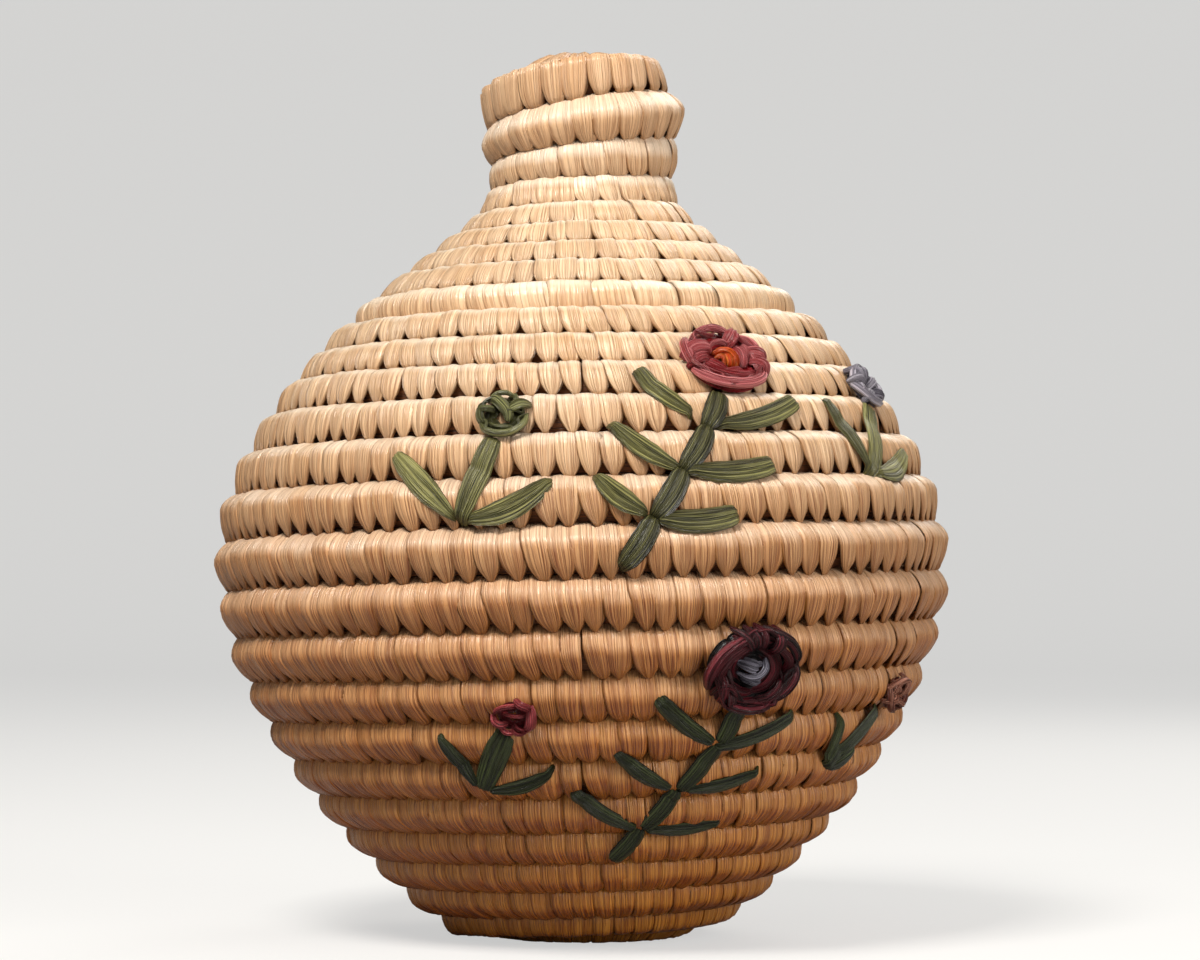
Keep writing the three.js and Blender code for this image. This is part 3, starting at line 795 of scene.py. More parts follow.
def stitch_tree():
    """Lays one stitch after another along a coil's middle line and wraps each around it."""
    tree = bpy.data.node_groups.new("Stitched coil", "GeometryNodeTree")
    tree.interface.new_socket("Geometry", in_out="OUTPUT", socket_type="NodeSocketGeometry")
    for name, kind, default in STITCH_INPUTS:
        socket = tree.interface.new_socket(name, in_out="INPUT", socket_type=f"NodeSocket{kind}")
        if default is not None:
            socket.default_value = default
    nodes = Nodes(tree)
    given = nodes.add("NodeGroupInput", None)
    get = {name: Wire(tree, given.outputs[name]) for name, _, _ in STITCH_INPUTS}

    def named(attribute, kind="FLOAT"):
        return nodes.add("GeometryNodeInputNamedAttribute", 0, {"Name": attribute}, data_type=kind)

    def random(low, high, added_seed):
        seed = get["Seed"] + added_seed
        node = nodes.add("FunctionNodeRandomValue", None, {"Seed": seed}, data_type="FLOAT")
        plug(tree, low, node.inputs[2])
        plug(tree, high, node.inputs[3])
        return Wire(tree, node.outputs[1])

    curve = nodes.add("GeometryNodeMeshToCurve", 0, {"Mesh": get["Geometry"]})
    length = nodes.add("GeometryNodeCurveLength", 0, {"Curve": curve})
    count = (length / get["Spacing"]).rounded_down()
    start, step = nodes.join(get["Spacing"] * 0.5), nodes.join(length / count)
    line = nodes.add("GeometryNodeMeshLine", 0, {"Count": count, "Start Location": start, "Offset": step})
    shift = random(-1.0, 1.0, 1) * get["Unevenness"] * get["Spacing"]
    line = nodes.add("GeometryNodeSetPosition", 0, {"Geometry": line, "Offset": nodes.join(shift)})
    stitch = nodes.add("GeometryNodeObjectInfo", 4, {"Object": get["Stitch"], "As Instance": True})
    laid = nodes.add("GeometryNodeInstanceOnPoints", 0, {"Points": line, "Instance": stitch})
    for attribute, low, high, added_seed in STITCH_DRAWS:
        store = nodes.add(
            "GeometryNodeStoreNamedAttribute", None,
            {"Geometry": laid, "Name": attribute}, data_type="FLOAT", domain="INSTANCE",
        )
        plug(tree, random(low, high, added_seed), store.inputs["Value"])
        laid = Wire(tree, store.outputs[0])
    stitches = nodes.add("GeometryNodeRealizeInstances", 0, {"Geometry": laid})

    place_x, place_y, place_z = nodes.split(nodes.add("GeometryNodeInputPosition"))
    pointed, square, down = named("pointed"), named("square"), named("down")
    squareness = (get["Squareness"] + named("cut")).at_least(0.0).at_most(1.0)
    across = (pointed + (square - pointed) * squareness) * named("girth")
    lean = get["Lean"] * named("slope") * ((down - 0.3) * 0.5 + (down - 0.5).at_least(0.0))
    x = (place_x + (across + lean) * get["Spacing"]).at_least(0.0).at_most(length)
    size = 1 + named("swell") * SWELLING
    dip = named("dip") * (1 - place_y.absolute()).at_least(0.0) * DIPPING
    y = place_y * size + dip + (down - 0.8).at_least(0.0) * named("swell") * TIP_SHIFT
    pleat = (named("across") * named("pleats") + named("fold")).sine() * PLEAT_DEPTH
    z = (place_z * size + pleat) * get["Side"]

    def on_coil(attribute=None):
        sockets = {"Curves": curve, "Length": x}
        sample = nodes.add("GeometryNodeSampleCurve", None, sockets, data_type="FLOAT_VECTOR", mode="LENGTH")
        if attribute is None:
            return Wire(tree, sample.outputs["Position"])
        plug(tree, named(attribute, "FLOAT_VECTOR"), sample.inputs["Value"])
        return Wire(tree, sample.outputs["Value"])

    up, below = y.at_least(0.0), (0 - y).at_least(0.0)
    reach = on_coil("reach").times((1 - below / 2) * z).plus(on_coil("reach_below").times(below / 2 * z))
    spot = on_coil().plus(on_coil("rise").times(up)).plus(on_coil("fall").times(below)).plus(reach)
    spot_x, spot_y, spot_z = nodes.split(spot)
    spot = nodes.join(spot_x, spot_y, spot_z.at_least(0.0))
    stitches = nodes.add("GeometryNodeSetPosition", 0, {"Geometry": stitches, "Position": spot})
    inside_out = nodes.add(
        "FunctionNodeCompare", 0, {0: get["Side"], 1: 0.0}, data_type="FLOAT", operation="LESS_THAN",
    )
    flipped = nodes.add("GeometryNodeFlipFaces", 0, {"Mesh": stitches, "Selection": inside_out})
    finished = nodes.add("GeometryNodeSetMaterial", 0, {"Geometry": flipped, "Material": get["Material"]})
    nodes.add("NodeGroupOutput", None, {"Geometry": finished})
    return tree


def set_inputs(modifier, values):
    """Sets a Geometry Nodes modifier's inputs, found by the name that the tree shows."""
    for item in modifier.node_group.interface.items_tree:
        if item.item_type == "SOCKET" and item.in_out == "INPUT" and item.name in values:
            modifier[item.identifier] = values[item.name]


def middle_line(name, places):
    """The coil's middle line as a string of edges, with the section's directions at each point."""
    mesh = bpy.data.meshes.new(name)
    mesh.from_pydata([p.centre for p in places], [(i, i + 1) for i in range(len(places) - 1)], [])
    for attribute in ("rise", "fall", "reach", "reach_below"):
        flat = [c for p in places for c in getattr(p, attribute)]
        mesh.attributes.new(attribute, "FLOAT_VECTOR", "POINT").data.foreach_set("vector", flat)
    line = bpy.data.objects.new(name, mesh)
    bpy.context.scene.collection.objects.link(line)
    return line


def add_stitches(name, body, node, places, profile, moved=None, **values):
    """Stitches one stretch of coil. The node tree lays them, and they are kept as a plain mesh."""
    tree = bpy.data.node_groups.get("Stitched coil") or stitch_tree()
    line = middle_line(name, places)
    modifier = line.modifiers.new("Stitches", "NODES")
    modifier.node_group = tree
    grass = material("stitch_grass", grass_material)
    set_inputs(modifier, {"Stitch": bpy.data.objects[profile], "Material": grass, **values})
    depsgraph = bpy.context.evaluated_depsgraph_get()
    mesh = bpy.data.meshes.new_from_object(line.evaluated_get(depsgraph), depsgraph=depsgraph)
    for polygon in mesh.polygons:
        polygon.use_smooth = True
    if moved:
        for vertex in mesh.vertices:
            vertex.co = moved(vertex.co)
    for attribute in (*TEMPLATE_ATTRIBUTES, *(draw[0] for draw in STITCH_DRAWS)):
        if attribute != "tint" and attribute in mesh.attributes:
            mesh.attributes.remove(mesh.attributes[attribute])
    line.modifiers.clear()
    line.data = mesh
    finish_piece(line, body, "straw_coil", node)


# The bundle's tube: its points round a section, its thickness in shares of its room, and its lowest point, in
# metres
BUNDLE_SIDES, BUNDLE_THICKNESS, BUNDLE_FLOOR = 14, 0.82, 0.00035

# The length of a strip or bundle, in millimetres, that its map counts as one
MAPPED_LENGTH = 8


def add_foundation(name, body, node, places, full, moved=None):
    """The bundle of stalks inside the stitches, as a closed tube. full says how much of its room it fills
    at a turn."""
    vertices, maps = [], []
    length = 0.0
    for i, place in enumerate(places):
        if i:
            length += (place.centre - places[i - 1].centre).length
        for j in range(BUNDLE_SIDES):
            angle = 2 * pi * j / BUNDLE_SIDES
            spot = place.around(cos(angle) * full(place.turn), sin(angle) * BUNDLE_THICKNESS)
            spot.z = max(spot.z, BUNDLE_FLOOR)
            vertices.append(moved(spot) if moved else spot)
            maps.append((abs(2 * j / BUNDLE_SIDES - 1), length / MM / MAPPED_LENGTH))
    foundation = material("coil_foundation", foundation_material)
    piece = mesh_object(name, vertices, tube_faces(len(places), BUNDLE_SIDES), maps, 0.5, [foundation])
    finish_piece(piece, body, "straw_coil", node)


def full_but_at_mouth(turn):
    """Neighbouring turns press on each other, but not where the lid lifts off the body."""
    return lerp(0.94, 1.06, smooth(abs(turn - MOUTH_TURN) - 1))


def close_fitting(turn):
    return 0.97


# The sprigs, in raffia

NO_STRANDS = (0, 0, 0, 0)

# Places on the sprigs are millimetres right of the axis and above the floor, as the camera sees them on the
# upright plane through the axis. A flower's scale is its size across and upward as a share of its strips'
# places. Its floor is the radius and width of each ring of raffia under them, so that no coil shows through.
# Its loose strands are thin ones over them: how many, between which radii, and how high
TALL_SPRIGS = {
    "rose_flower": {
        "flower": (29.3, 118.1),
        "scale": (0.96, 0.86),
        "floor": ((6.3, 4.6), (3.4, 4.0)),
        "loose": (9, 5.2, 8.6, 2.1),
        "stem": ((27.7, 109.9), (26, 105), (21, 96), (15, 86), (8, 75.5)),
        "left": ((11, 117), (5.5, 106), (2.5, 95)),
        "right": ((44.5, 110.5), (40.5, 97.5), (33, 87)),
        "slot": "rose_raffia",
        "centre": "orange_raffia",
        "leaves": "olive_leaf_raffia",
        "leaf_width": 4.2,
        "setbacks": ((3.3, 0.2, 1.2), (2.2, 0.6, 0.4)),
        "blunt": ("left_1", "right_1", "right_2", "right_3"),
    },
    "maroon_flower": {
        "flower": (34.3, 55),
        "scale": (0.98, 0.84),
        "floor": ((6.6, 5.0), (3.4, 4.6)),
        "loose": (16, 5.6, 9.2, 2.9),
        "stem": ((31, 44.2), (28, 39), (19.5, 29.5), (12, 21.5), (5.5, 15)),
        "left": ((15.5, 49), (6.5, 38), (-2, 29.5)),
        "right": ((44.5, 45.5), (37, 34), (29, 23.5)),
        "slot": "maroon_raffia",
        "centre": "lavender_raffia",
        "leaves": "dark_leaf_raffia",
        "leaf_width": 3.4,
        "setbacks": ((0.6, 1.0, 0.6), (-1.5, 1.2, 0.6)),
        "blunt": ("left_1", "left_3", "right_1"),
    },
}
SHORT_SPRIGS = {
    "green_flower": {
        "flower": (-16, 106.7),
        "scale": (0.95, 0.92),
        "floor": ((2.9, 3.0),),
        "loose": (4, 3.2, 4.8, 1.5),
        "foot": (-25.5, 85),
        "tips": ((-39, 99.5), (-6, 94)),
        "slot": "moss_raffia",
        "leaves": "olive_leaf_raffia",
    },
    "crimson_flower": {
        "flower": (-14, 45),
        "scale": (0.84, 0.77),
        "floor": ((2.4, 3.0),),
        "loose": NO_STRANDS,
        "foot": (-20.5, 29.5),
        "tips": ((-29.7, 41.2), (-6, 33.6)),
        "slot": "crimson_raffia",
        "leaves": "dark_leaf_raffia",
    },
    "grey_flower": {
        "flower": (57.7, 112.3),
        "scale": (1, 1),
        "floor": ((2.6, 3.2),),
        "loose": (5, 2.6, 4.2, 1.9),
        "foot": (60.5, 95),
        "tips": ((49.5, 111), (66.5, 100)),
        "slot": "grey_raffia",
        "leaves": "olive_leaf_raffia",
    },
    "brown_flower": {
        "flower": (64, 50),
        "scale": (0.84, 0.78),
        "floor": ((2.6, 3.2),),
        "loose": (4, 2.6, 4.2, 1.8),
        "foot": (49.8, 34),
        "tips": ((53.7, 44.8), (57, 38.6)),
        "slot": "brown_raffia",
        "leaves": "dark_leaf_raffia",
    },
}

# Each dye's dark and pale tone
DYES = {
    "rose_raffia": ((0.54, 0.07, 0.10), (1.0, 0.64, 0.64)),
    "orange_raffia": ((0.80, 0.24, 0.03), (1.0, 0.62, 0.22)),
    "maroon_raffia": ((0.015, 0.002, 0.005), (0.56, 0.15, 0.21)),
    "lavender_raffia": ((0.19, 0.18, 0.23), (0.84, 0.82, 0.90)),
    "moss_raffia": ((0.19, 0.19, 0.05), (0.76, 0.76, 0.50)),
    "crimson_raffia": ((0.38, 0.03, 0.07), (1.0, 0.46, 0.48)),
    "grey_raffia": ((0.34, 0.32, 0.37), (0.92, 0.89, 0.94)),
    "brown_raffia": ((0.42, 0.18, 0.12), (1.00, 0.72, 0.60)),
    "olive_leaf_raffia": ((0.09, 0.09, 0.015), (0.71, 0.69, 0.42)),
    "dark_leaf_raffia": ((0.006, 0.014, 0.002), (0.34, 0.39, 0.18)),
}

# Flowers are wound and knotted from raffia strips. Each strip's points are angle in degrees from the right,
# radius and height off the coil in millimetres, then the strip's width and thickness
FLOWERS = {
    "rose_flower": (
        (((200, 8.2, 0.6), (220, 8.0, 1.4), (250, 7.6, 1.9), (285, 7.6, 2.0), (315, 8.2, 1.8),
          (338, 8.4, 0.8)), 2.6, 1.2),
        (((182, 6.2, 0.8), (215, 5.4, 1.7), (255, 5.0, 2.1), (300, 5.6, 1.9), (330, 6.6, 0.9)), 1.9, 1.0),
        (((140, 9.6, 0.2), (160, 9.1, 1.6), (180, 8.4, 1.8), (196, 7.4, 0.4)), 2.3, 1.2),
        (((176, 9.2, 0.2), (165, 7.4, 2.4), (150, 5.0, 2.2), (140, 3.9, 0.6)), 3.6, 1.0),
        (((192, 8.6, 0.2), (188, 6.8, 2.3), (182, 5.0, 1.7), (180, 4.0, 0.5)), 2.6, 1.0),
        (((146, 8.4, 0.5), (125, 8.5, 1.6), (100, 8.1, 2.0), (76, 7.8, 1.5), (66, 7.2, 0.5)), 1.5, 1.1),
        (((58, 8.8, 0.2), (62, 7.2, 2.4), (66, 5.2, 2.3), (72, 3.8, 0.6)), 3.3, 1.1),
        (((50, 8.6, 0.5), (35, 8.3, 1.6), (18, 8.3, 1.7), (4, 8.0, 0.6)), 2.0, 1.2),
        (((-2, 9.3, 0.2), (4, 8.2, 2.2), (12, 6.4, 2.2), (20, 5.0, 0.6)), 3.0, 1.1),
        (((-24, 9.2, 0.2), (-17, 8.2, 2.1), (-10, 6.6, 2.0), (-4, 5.4, 0.6)), 2.6, 1.0),
        (((-30, 8.8, 0.6), (-20, 6.6, 1.6), (0, 6.0, 1.8), (25, 5.6, 1.4), (38, 5.4, 0.5)), 1.3, 0.8),
        (((172, 4.6, 0.6), (145, 4.3, 1.8), (115, 4.2, 2.1), (85, 4.0, 1.8), (60, 4.2, 0.7)), 1.2, 0.9),
        (((185, 4.9, 0.9), (205, 3.9, 1.6), (235, 3.0, 1.3), (262, 2.9, 0.5)), 2.9, 0.7),
        (((232, 4.7, 0.8), (262, 3.9, 1.5), (295, 3.7, 1.4), (320, 4.0, 0.6)), 2.3, 0.7),
        (((55, 4.9, 0.8), (28, 4.2, 1.7), (0, 3.9, 1.6), (-28, 4.2, 0.7)), 2.5, 0.7),
        (((40, 6.6, 0.7), (25, 5.6, 2.0), (8, 4.9, 1.9), (-6, 4.6, 0.8)), 1.1, 0.8),
    ),
    "maroon_flower": (
        (((205, 9.4, 0.6), (180, 9.0, 2.6), (150, 8.2, 3.2), (120, 7.8, 3.2), (100, 7.9, 2.2)), 2.4, 1.6),
        (((212, 7.4, 0.8), (180, 7.2, 2.8), (150, 6.4, 3.0), (115, 5.9, 2.4), (100, 6.2, 1.2)), 1.9, 1.4),
        (((118, 9.8, 0.2), (112, 8.2, 3.4), (106, 6.0, 2.8), (102, 4.9, 0.6)), 1.9, 1.2),
        (((103, 9.2, 0.2), (98, 8.0, 3.4), (94, 6.2, 2.8), (92, 5.2, 0.6)), 1.7, 1.1),
        (((90, 9.3, 0.2), (86, 8.2, 3.3), (82, 6.4, 2.9), (80, 5.4, 0.6)), 1.8, 1.1),
        (((80, 9.2, 0.6), (64, 9.0, 2.8), (45, 9.2, 3.1), (25, 9.4, 2.7), (8, 9.0, 0.9)), 2.3, 1.5),
        (((66, 9.6, 0.2), (60, 8.4, 3.5), (53, 6.6, 2.9), (48, 5.4, 0.6)), 2.4, 1.2),
        (((58, 7.0, 1.4), (36, 7.2, 3.0), (16, 7.6, 2.6), (-2, 7.4, 1.0)), 1.7, 1.2),
        (((14, 9.4, 0.4), (-2, 9.0, 2.6), (-20, 8.6, 2.8), (-40, 8.4, 2.2), (-55, 8.2, 0.8)), 2.4, 1.5),
        (((-10, 7.4, 1.0), (-30, 7.0, 2.4), (-55, 6.8, 2.6), (-80, 7.0, 1.6), (-95, 7.2, 0.6)), 1.9, 1.3),
        (((-44, 8.4, 0.6), (-65, 8.4, 2.4), (-90, 8.2, 2.8), (-115, 8.4, 2.2), (-130, 8.4, 0.8)), 2.6, 1.6),
        (((216, 9.2, 0.6), (206, 7.4, 2.6), (214, 5.6, 2.9), (236, 5.8, 2.6), (252, 7.8, 0.8)), 1.3, 1.1),
        (((232, 8.8, 0.4), (222, 7.6, 2.4), (205, 6.4, 2.6), (190, 6.2, 1.2)), 2.2, 1.3),
        (((172, 4.8, 0.8), (205, 4.9, 2.2), (235, 5.4, 2.2), (262, 7.2, 2.4), (272, 8.4, 0.8)), 1.2, 1.0),
        (((245, 8.9, 0.4), (240, 7.8, 2.6), (232, 6.4, 2.4), (228, 5.2, 0.8)), 2.4, 1.2),
        (((130, 5.4, 0.4), (170, 5.4, 1.0), (215, 5.4, 1.1), (260, 5.4, 0.9), (290, 5.4, 0.3)), 2.6, 0.8),
        (((280, 5.4, 0.4), (320, 5.6, 1.0), (0, 5.6, 1.2), (40, 5.4, 1.1), (75, 5.0, 0.3)), 2.8, 0.8),
        (((80, 4.2, 0.3), (120, 4.0, 0.6), (180, 3.6, 0.6), (240, 3.4, 0.3)), 2.6, 0.6),
        (((260, 3.4, 0.3), (320, 3.8, 0.6), (20, 3.8, 0.6), (60, 3.6, 0.3)), 2.8, 0.6),
    ),
    "green_flower": (
        (((196, 4.9, 0.3), (225, 4.7, 1.2), (262, 4.5, 1.5), (300, 4.6, 1.5), (335, 4.7, 1.2),
          (2, 4.6, 0.4)), 1.5, 1.0),
        (((150, 5.4, 0.2), (168, 5.0, 1.3), (190, 4.7, 1.3), (205, 4.3, 0.4)), 1.8, 1.0),
        (((172, 5.6, 0.1), (168, 4.2, 1.9), (160, 3.0, 1.6), (150, 2.3, 0.5)), 1.5, 0.8),
        (((138, 5.2, 0.2), (115, 5.2, 1.1), (90, 5.0, 1.2), (70, 4.6, 0.4)), 1.0, 0.8),
        (((132, 5.0, 0.2), (122, 3.6, 1.9), (98, 1.6, 2.1), (20, 0.9, 1.4), (-50, 1.6, 0.5)), 2.5, 0.8),
        (((74, 4.9, 0.2), (62, 4.4, 1.3), (48, 3.5, 1.2), (40, 2.6, 0.4)), 1.2, 0.8),
        (((28, 5.6, 0.2), (30, 4.0, 2.0), (36, 2.4, 1.8), (60, 1.3, 0.6)), 2.6, 0.8),
        (((150, 1.2, 1.5), (60, 0.7, 1.9), (10, 2.6, 1.7), (4, 4.0, 0.8)), 0.5, 0.4),
        (((210, 3.2, 0.4), (240, 2.9, 1.2), (280, 2.9, 1.3), (310, 3.4, 0.5)), 1.0, 0.7),
    ),
    "crimson_flower": (
        (((172, 4.4, 0.3), (150, 4.2, 1.3), (118, 3.6, 1.7), (85, 3.4, 1.6), (66, 3.6, 0.6)), 1.2, 0.9),
        (((78, 4.4, 0.2), (64, 4.4, 1.7), (48, 4.6, 1.8), (34, 4.5, 0.5)), 1.8, 1.1),
        (((36, 4.8, 0.3), (8, 4.2, 1.6), (-22, 4.1, 1.7), (-50, 4.0, 0.5)), 2.5, 1.0),
        (((150, 2.4, 0.8), (110, 1.2, 1.6), (40, 1.4, 1.6), (14, 2.9, 0.8)), 1.0, 0.7),
        (((-88, 1.4, 0.8), (-70, 2.4, 1.5), (-52, 3.6, 1.3), (-44, 4.6, 0.4)), 0.8, 0.7),
        (((-104, 2.4, 0.6), (-90, 3.4, 1.3), (-72, 4.2, 1.2), (-56, 4.6, 0.3)), 1.0, 0.8),
        (((176, 4.9, 0.2), (190, 4.2, 1.4), (206, 3.2, 1.4), (224, 2.2, 0.6)), 1.9, 0.9),
        (((215, 4.2, 0.2), (235, 4.0, 1.2), (256, 3.8, 1.2), (272, 3.6, 0.3)), 1.4, 0.9),
    ),
    "grey_flower": (
        (((20, 4.2, 0.4), (60, 4.0, 1.7), (100, 3.9, 2.0), (140, 4.0, 1.7), (175, 4.1, 0.5)), 1.7, 1.2),
        (((160, 4.3, 0.4), (200, 4.0, 1.6), (240, 3.9, 1.8), (285, 4.0, 1.5), (315, 4.1, 0.4)), 1.7, 1.2),
        (((300, 4.1, 0.4), (330, 4.0, 1.6), (0, 4.0, 1.7), (35, 4.1, 0.5)), 1.6, 1.2),
        (((120, 4.9, 0.2), (122, 3.6, 2.5), (130, 2.0, 2.0), (140, 1.2, 0.5)), 2.2, 0.9),
        (((160, 4.9, 0.2), (158, 3.6, 2.4), (155, 2.2, 1.9), (150, 1.4, 0.5)), 1.8, 0.9),
        (((72, 4.8, 0.2), (70, 3.6, 2.4), (62, 2.2, 2.0), (50, 1.2, 0.5)), 1.9, 0.9),
        (((20, 4.8, 0.2), (16, 3.6, 2.3), (8, 2.3, 1.8), (0, 1.5, 0.5)), 1.8, 0.9),
        (((-40, 4.8, 0.2), (-44, 3.6, 2.3), (-52, 2.2, 1.8), (-60, 1.4, 0.5)), 1.8, 0.9),
        (((220, 4.8, 0.2), (224, 3.6, 2.2), (232, 2.2, 1.8), (240, 1.4, 0.5)), 1.8, 0.9),
    ),
    "brown_flower": (
        (((10, 4.4, 0.3), (50, 4.2, 1.5), (90, 4.0, 1.8), (130, 4.2, 1.5), (165, 4.4, 0.4)), 1.5, 1.1),
        (((150, 4.4, 0.3), (190, 4.0, 1.6), (230, 3.8, 1.8), (270, 4.0, 1.5), (300, 4.3, 0.4)), 1.5, 1.1),
        (((286, 4.4, 0.3), (318, 4.1, 1.6), (350, 4.0, 1.7), (20, 4.2, 0.5)), 1.4, 1.1),
        (((84, 4.9, 0.2), (76, 3.4, 2.4), (50, 1.6, 2.2), (-10, 1.4, 1.2), (-40, 2.4, 0.4)), 1.6, 0.8),
        (((-30, 4.9, 0.2), (-36, 3.6, 2.3), (-50, 2.0, 2.0), (-100, 1.4, 0.8)), 1.6, 0.8),
        (((205, 4.9, 0.2), (202, 3.4, 2.3), (190, 1.8, 1.9), (150, 1.3, 0.6)), 1.7, 0.8),
        (((135, 4.6, 0.2), (142, 3.4, 2.1), (158, 2.4, 1.6), (180, 1.8, 0.5)), 1.4, 0.8),
    ),
}
CENTRES = {
    "rose_flower": (
        (((150, 2.9, 0.8), (125, 1.9, 2.2), (60, 0.9, 2.6), (-25, 1.6, 2.3), (-35, 2.7, 0.9)), 1.5, 0.8),
        (((110, 0.8, 1.4), (20, 0.5, 2.1), (-60, 1.4, 1.9), (-70, 2.2, 0.6)), 2.2, 0.8),
        (((60, 1.6, 1.0), (0, 1.5, 1.9), (-40, 2.0, 1.6), (-56, 2.6, 0.6)), 1.5, 0.7),
        (((170, 2.2, 0.8), (160, 1.2, 1.6), (200, 0.6, 1.7), (250, 1.6, 0.8)), 1.4, 0.7),
    ),
    "maroon_flower": (
        (((150, 2.9, 0.6), (138, 2.0, 2.4), (120, 1.2, 2.9), (85, 0.9, 2.4), (40, 1.0, 1.2)), 2.4, 1.0),
        (((-165, 2.7, 0.8), (-125, 1.4, 2.6), (-30, 1.2, 3.0), (20, 2.4, 2.7), (38, 3.5, 1.0)), 1.5, 0.9),
        (((-128, 2.4, 0.8), (-100, 2.0, 2.0), (-70, 2.4, 2.2), (-48, 3.0, 0.8)), 1.9, 1.0),
        (((120, 2.8, 0.8), (80, 1.9, 2.2), (55, 2.0, 2.2), (35, 2.6, 0.8)), 1.1, 0.7),
        (((80, 1.3, 1.6), (60, 0.4, 2.5), (-100, 0.6, 2.6), (-120, 1.5, 1.8)), 0.6, 0.5),
    ),
}
# Widths and distances on the sprigs, in millimetres
STEM_WIDTH, SHORT_STEM_WIDTH = 4.5, 4.9
SHORT_LEAF_WIDTHS = {"olive_leaf_raffia": 4.5, "dark_leaf_raffia": 3.3}
STEM_UNDER_FLOWER, SHORT_STEM_UNDER_FLOWER = 3.2, 4
JOINT_OVERLAP = 0.5
SHORT_SETBACK = 1.0
STRIP_THICKNESS = 0.5
STRIP_RISE, STRIP_SAG = 0.5, 0.16
STRIP_DIVE, DIVE_LENGTH = 1.9, 1.1

# How far a strip bows sideways, as a share of its length
STEM_BOW = 0.04
LEAF_BOWS = {"left": 0.06, "right": -0.06}
SHORT_LEAF_BOWS = {"left": 0.0, "right": -0.09}

# The strips under a flower: how far each reaches round it and how far on the next begins, in degrees, then
# the height of its middle, the drop of its ends and its thickness. They are painted darker, as painted shade
# under the flower
FLOOR_REACH, FLOOR_SPACING = 80, 60
FLOOR_HEIGHT, FLOOR_DROP, FLOOR_THICKNESS = 0.45, 0.25, 0.5
SHADED_TINT = -0.4

# The thin strands over it: how many points each has and the angle between them, then the drop of its ends
STRAND_POINTS, STRAND_STEP, STRAND_DROP = 5, 22, 1.3
STRAND_WIDTH, STRAND_WIDTH_RANGE, STRAND_THICKNESS = 0.7, 0.35, 0.7

# A strip's width along its length, as shares of its full width
POINTED_LEAF = ((0.0, 0.24), (0.12, 0.56), (0.35, 0.94), (0.55, 1.0), (0.8, 0.82), (0.93, 0.52), (1.0, 0.28))
BLUNT_LEAF = ((0.0, 0.32), (0.10, 0.62), (0.3, 0.94), (0.6, 1.0), (0.84, 0.94), (0.94, 0.78), (1.0, 0.46))
STEM_FULLNESS = ((0.0, 0.5), (0.2, 0.88), (0.5, 1.0), (0.8, 0.88), (1.0, 0.5))
SHORT_STEM_FULLNESS = ((0.0, 0.5), (0.2, 0.82), (0.5, 1.0), (0.8, 0.95), (1.0, 0.7))
STRAND_FULLNESS = ((0.0, 0.45), (0.2, 0.92), (0.5, 1.0), (0.8, 0.92), (1.0, 0.45))

# A strip's section: places across its top and its underside, then how high its crown and its folds stand and
# how deep its underside lies, in shares of its thickness
TOP_PLACES = tuple(sin(radians(a)) for a in range(-90, 91, 12))
UNDER_PLACES = (0.6, 0.0, -0.6)
RIBBON_SIDES = len(TOP_PLACES) + len(UNDER_PLACES)
CROWN, FOLD_HEIGHT, UNDERSIDE = 0.85, 0.2, 0.45
FOLDS = 1.5
LEAST_DEPTH = 0.6

# Sections along a leaf's or stem's line, along its strip and along a flower's strip
LINE_STEPS, STRIP_STEPS, PETAL_STEPS = 14, 32, 16


def through(points, share):
    """The place this share of the way along a smooth line through the points."""
    along = clamp(share) * (len(points) - 1)
    i = min(int(along), len(points) - 2)
    t = along - i
    a, b, c, d = (Vector(points[clamp(k, 0, len(points) - 1)]) for k in (i - 1, i, i + 1, i + 2))
    return (b * 2 + (c - a) * t + (a * 2 - b * 5 + c * 4 - d) * t * t + (b * 3 - a - c * 3 + d) * t ** 3) / 2


def fullness_at(table, share):
    for (low, a), (high, b) in zip(table, table[1:]):
        if share <= high:
            return lerp(a, b, (share - low) / (high - low))
    return table[-1][1]


def zigzag(x):
    return 1 - 4 * abs(x - floor(x) - 0.5)


def ribbon(line, width, thickness, fullness, steps, seed):
    """A strip of raffia along a line of points (across, up the wall, off the wall): its points and its map.
    It is crowned, and its folds run along it and wander from side to side."""
    points, maps = [], []
    length = 0.0
    for i in range(steps + 1):
        share = i / steps
        here = through(line, share)
        run = (through(line, min(share + 0.03, 1)) - through(line, max(share - 0.03, 0))).normalized()
        side = run.cross(Vector((0, 0, 1))).normalized()
        out = side.cross(run)
        if i:
            length += (here - last).length
        last = here
        full = fullness_at(fullness, share)
        depth = thickness * lerp(LEAST_DEPTH, 1, full)
        phase = seed * 0.37 + 0.5 * drift(share * 1.6, seed * 1.3, 7.7)
        for place, across in enumerate((*TOP_PLACES, *UNDER_PLACES)):
            fold = FOLD_HEIGHT * zigzag(across * FOLDS + phase)
            lift = CROWN * (1 - across ** 4) + fold * (1 - across ** 6)
            if place >= len(TOP_PLACES):
                lift = -UNDERSIDE
            points.append(here + side * across * full * width / 2 + out * depth * lift)
            maps.append((across / 2 + 0.5, length / MAPPED_LENGTH))
    return points, maps


def raffia_object(name, strips, place, slot, shaded=0):
    """One piece from several strips, each laid over the wall by place. The first few may be painted darker,
    as painted shade.
    """
    vertices, maps, tints, faces = [], [], [], []
    for number, (points, strip_maps) in enumerate(strips):
        first = len(vertices)
        vertices += [place(*point) for point in points]
        maps += strip_maps
        # Strips under a flower take a low tint: painted shade
        tint = SHADED_TINT if number < shaded else 0.5 + 0.5 * drift(number * 3.1, len(name) * 0.7, 1.9)
        tints += [tint] * len(points)
        rings = len(points) // RIBBON_SIDES
        faces += [tuple(v + first for v in face) for face in tube_faces(rings, RIBBON_SIDES)]
    dye = material(f"dyed_{slot}", raffia_material, f"dyed_{slot}", *DYES[slot])
    piece = mesh_object(f"{name}_raffia", vertices, faces, maps, tints, [dye])
    finish_piece(piece, "basket", slot, name)


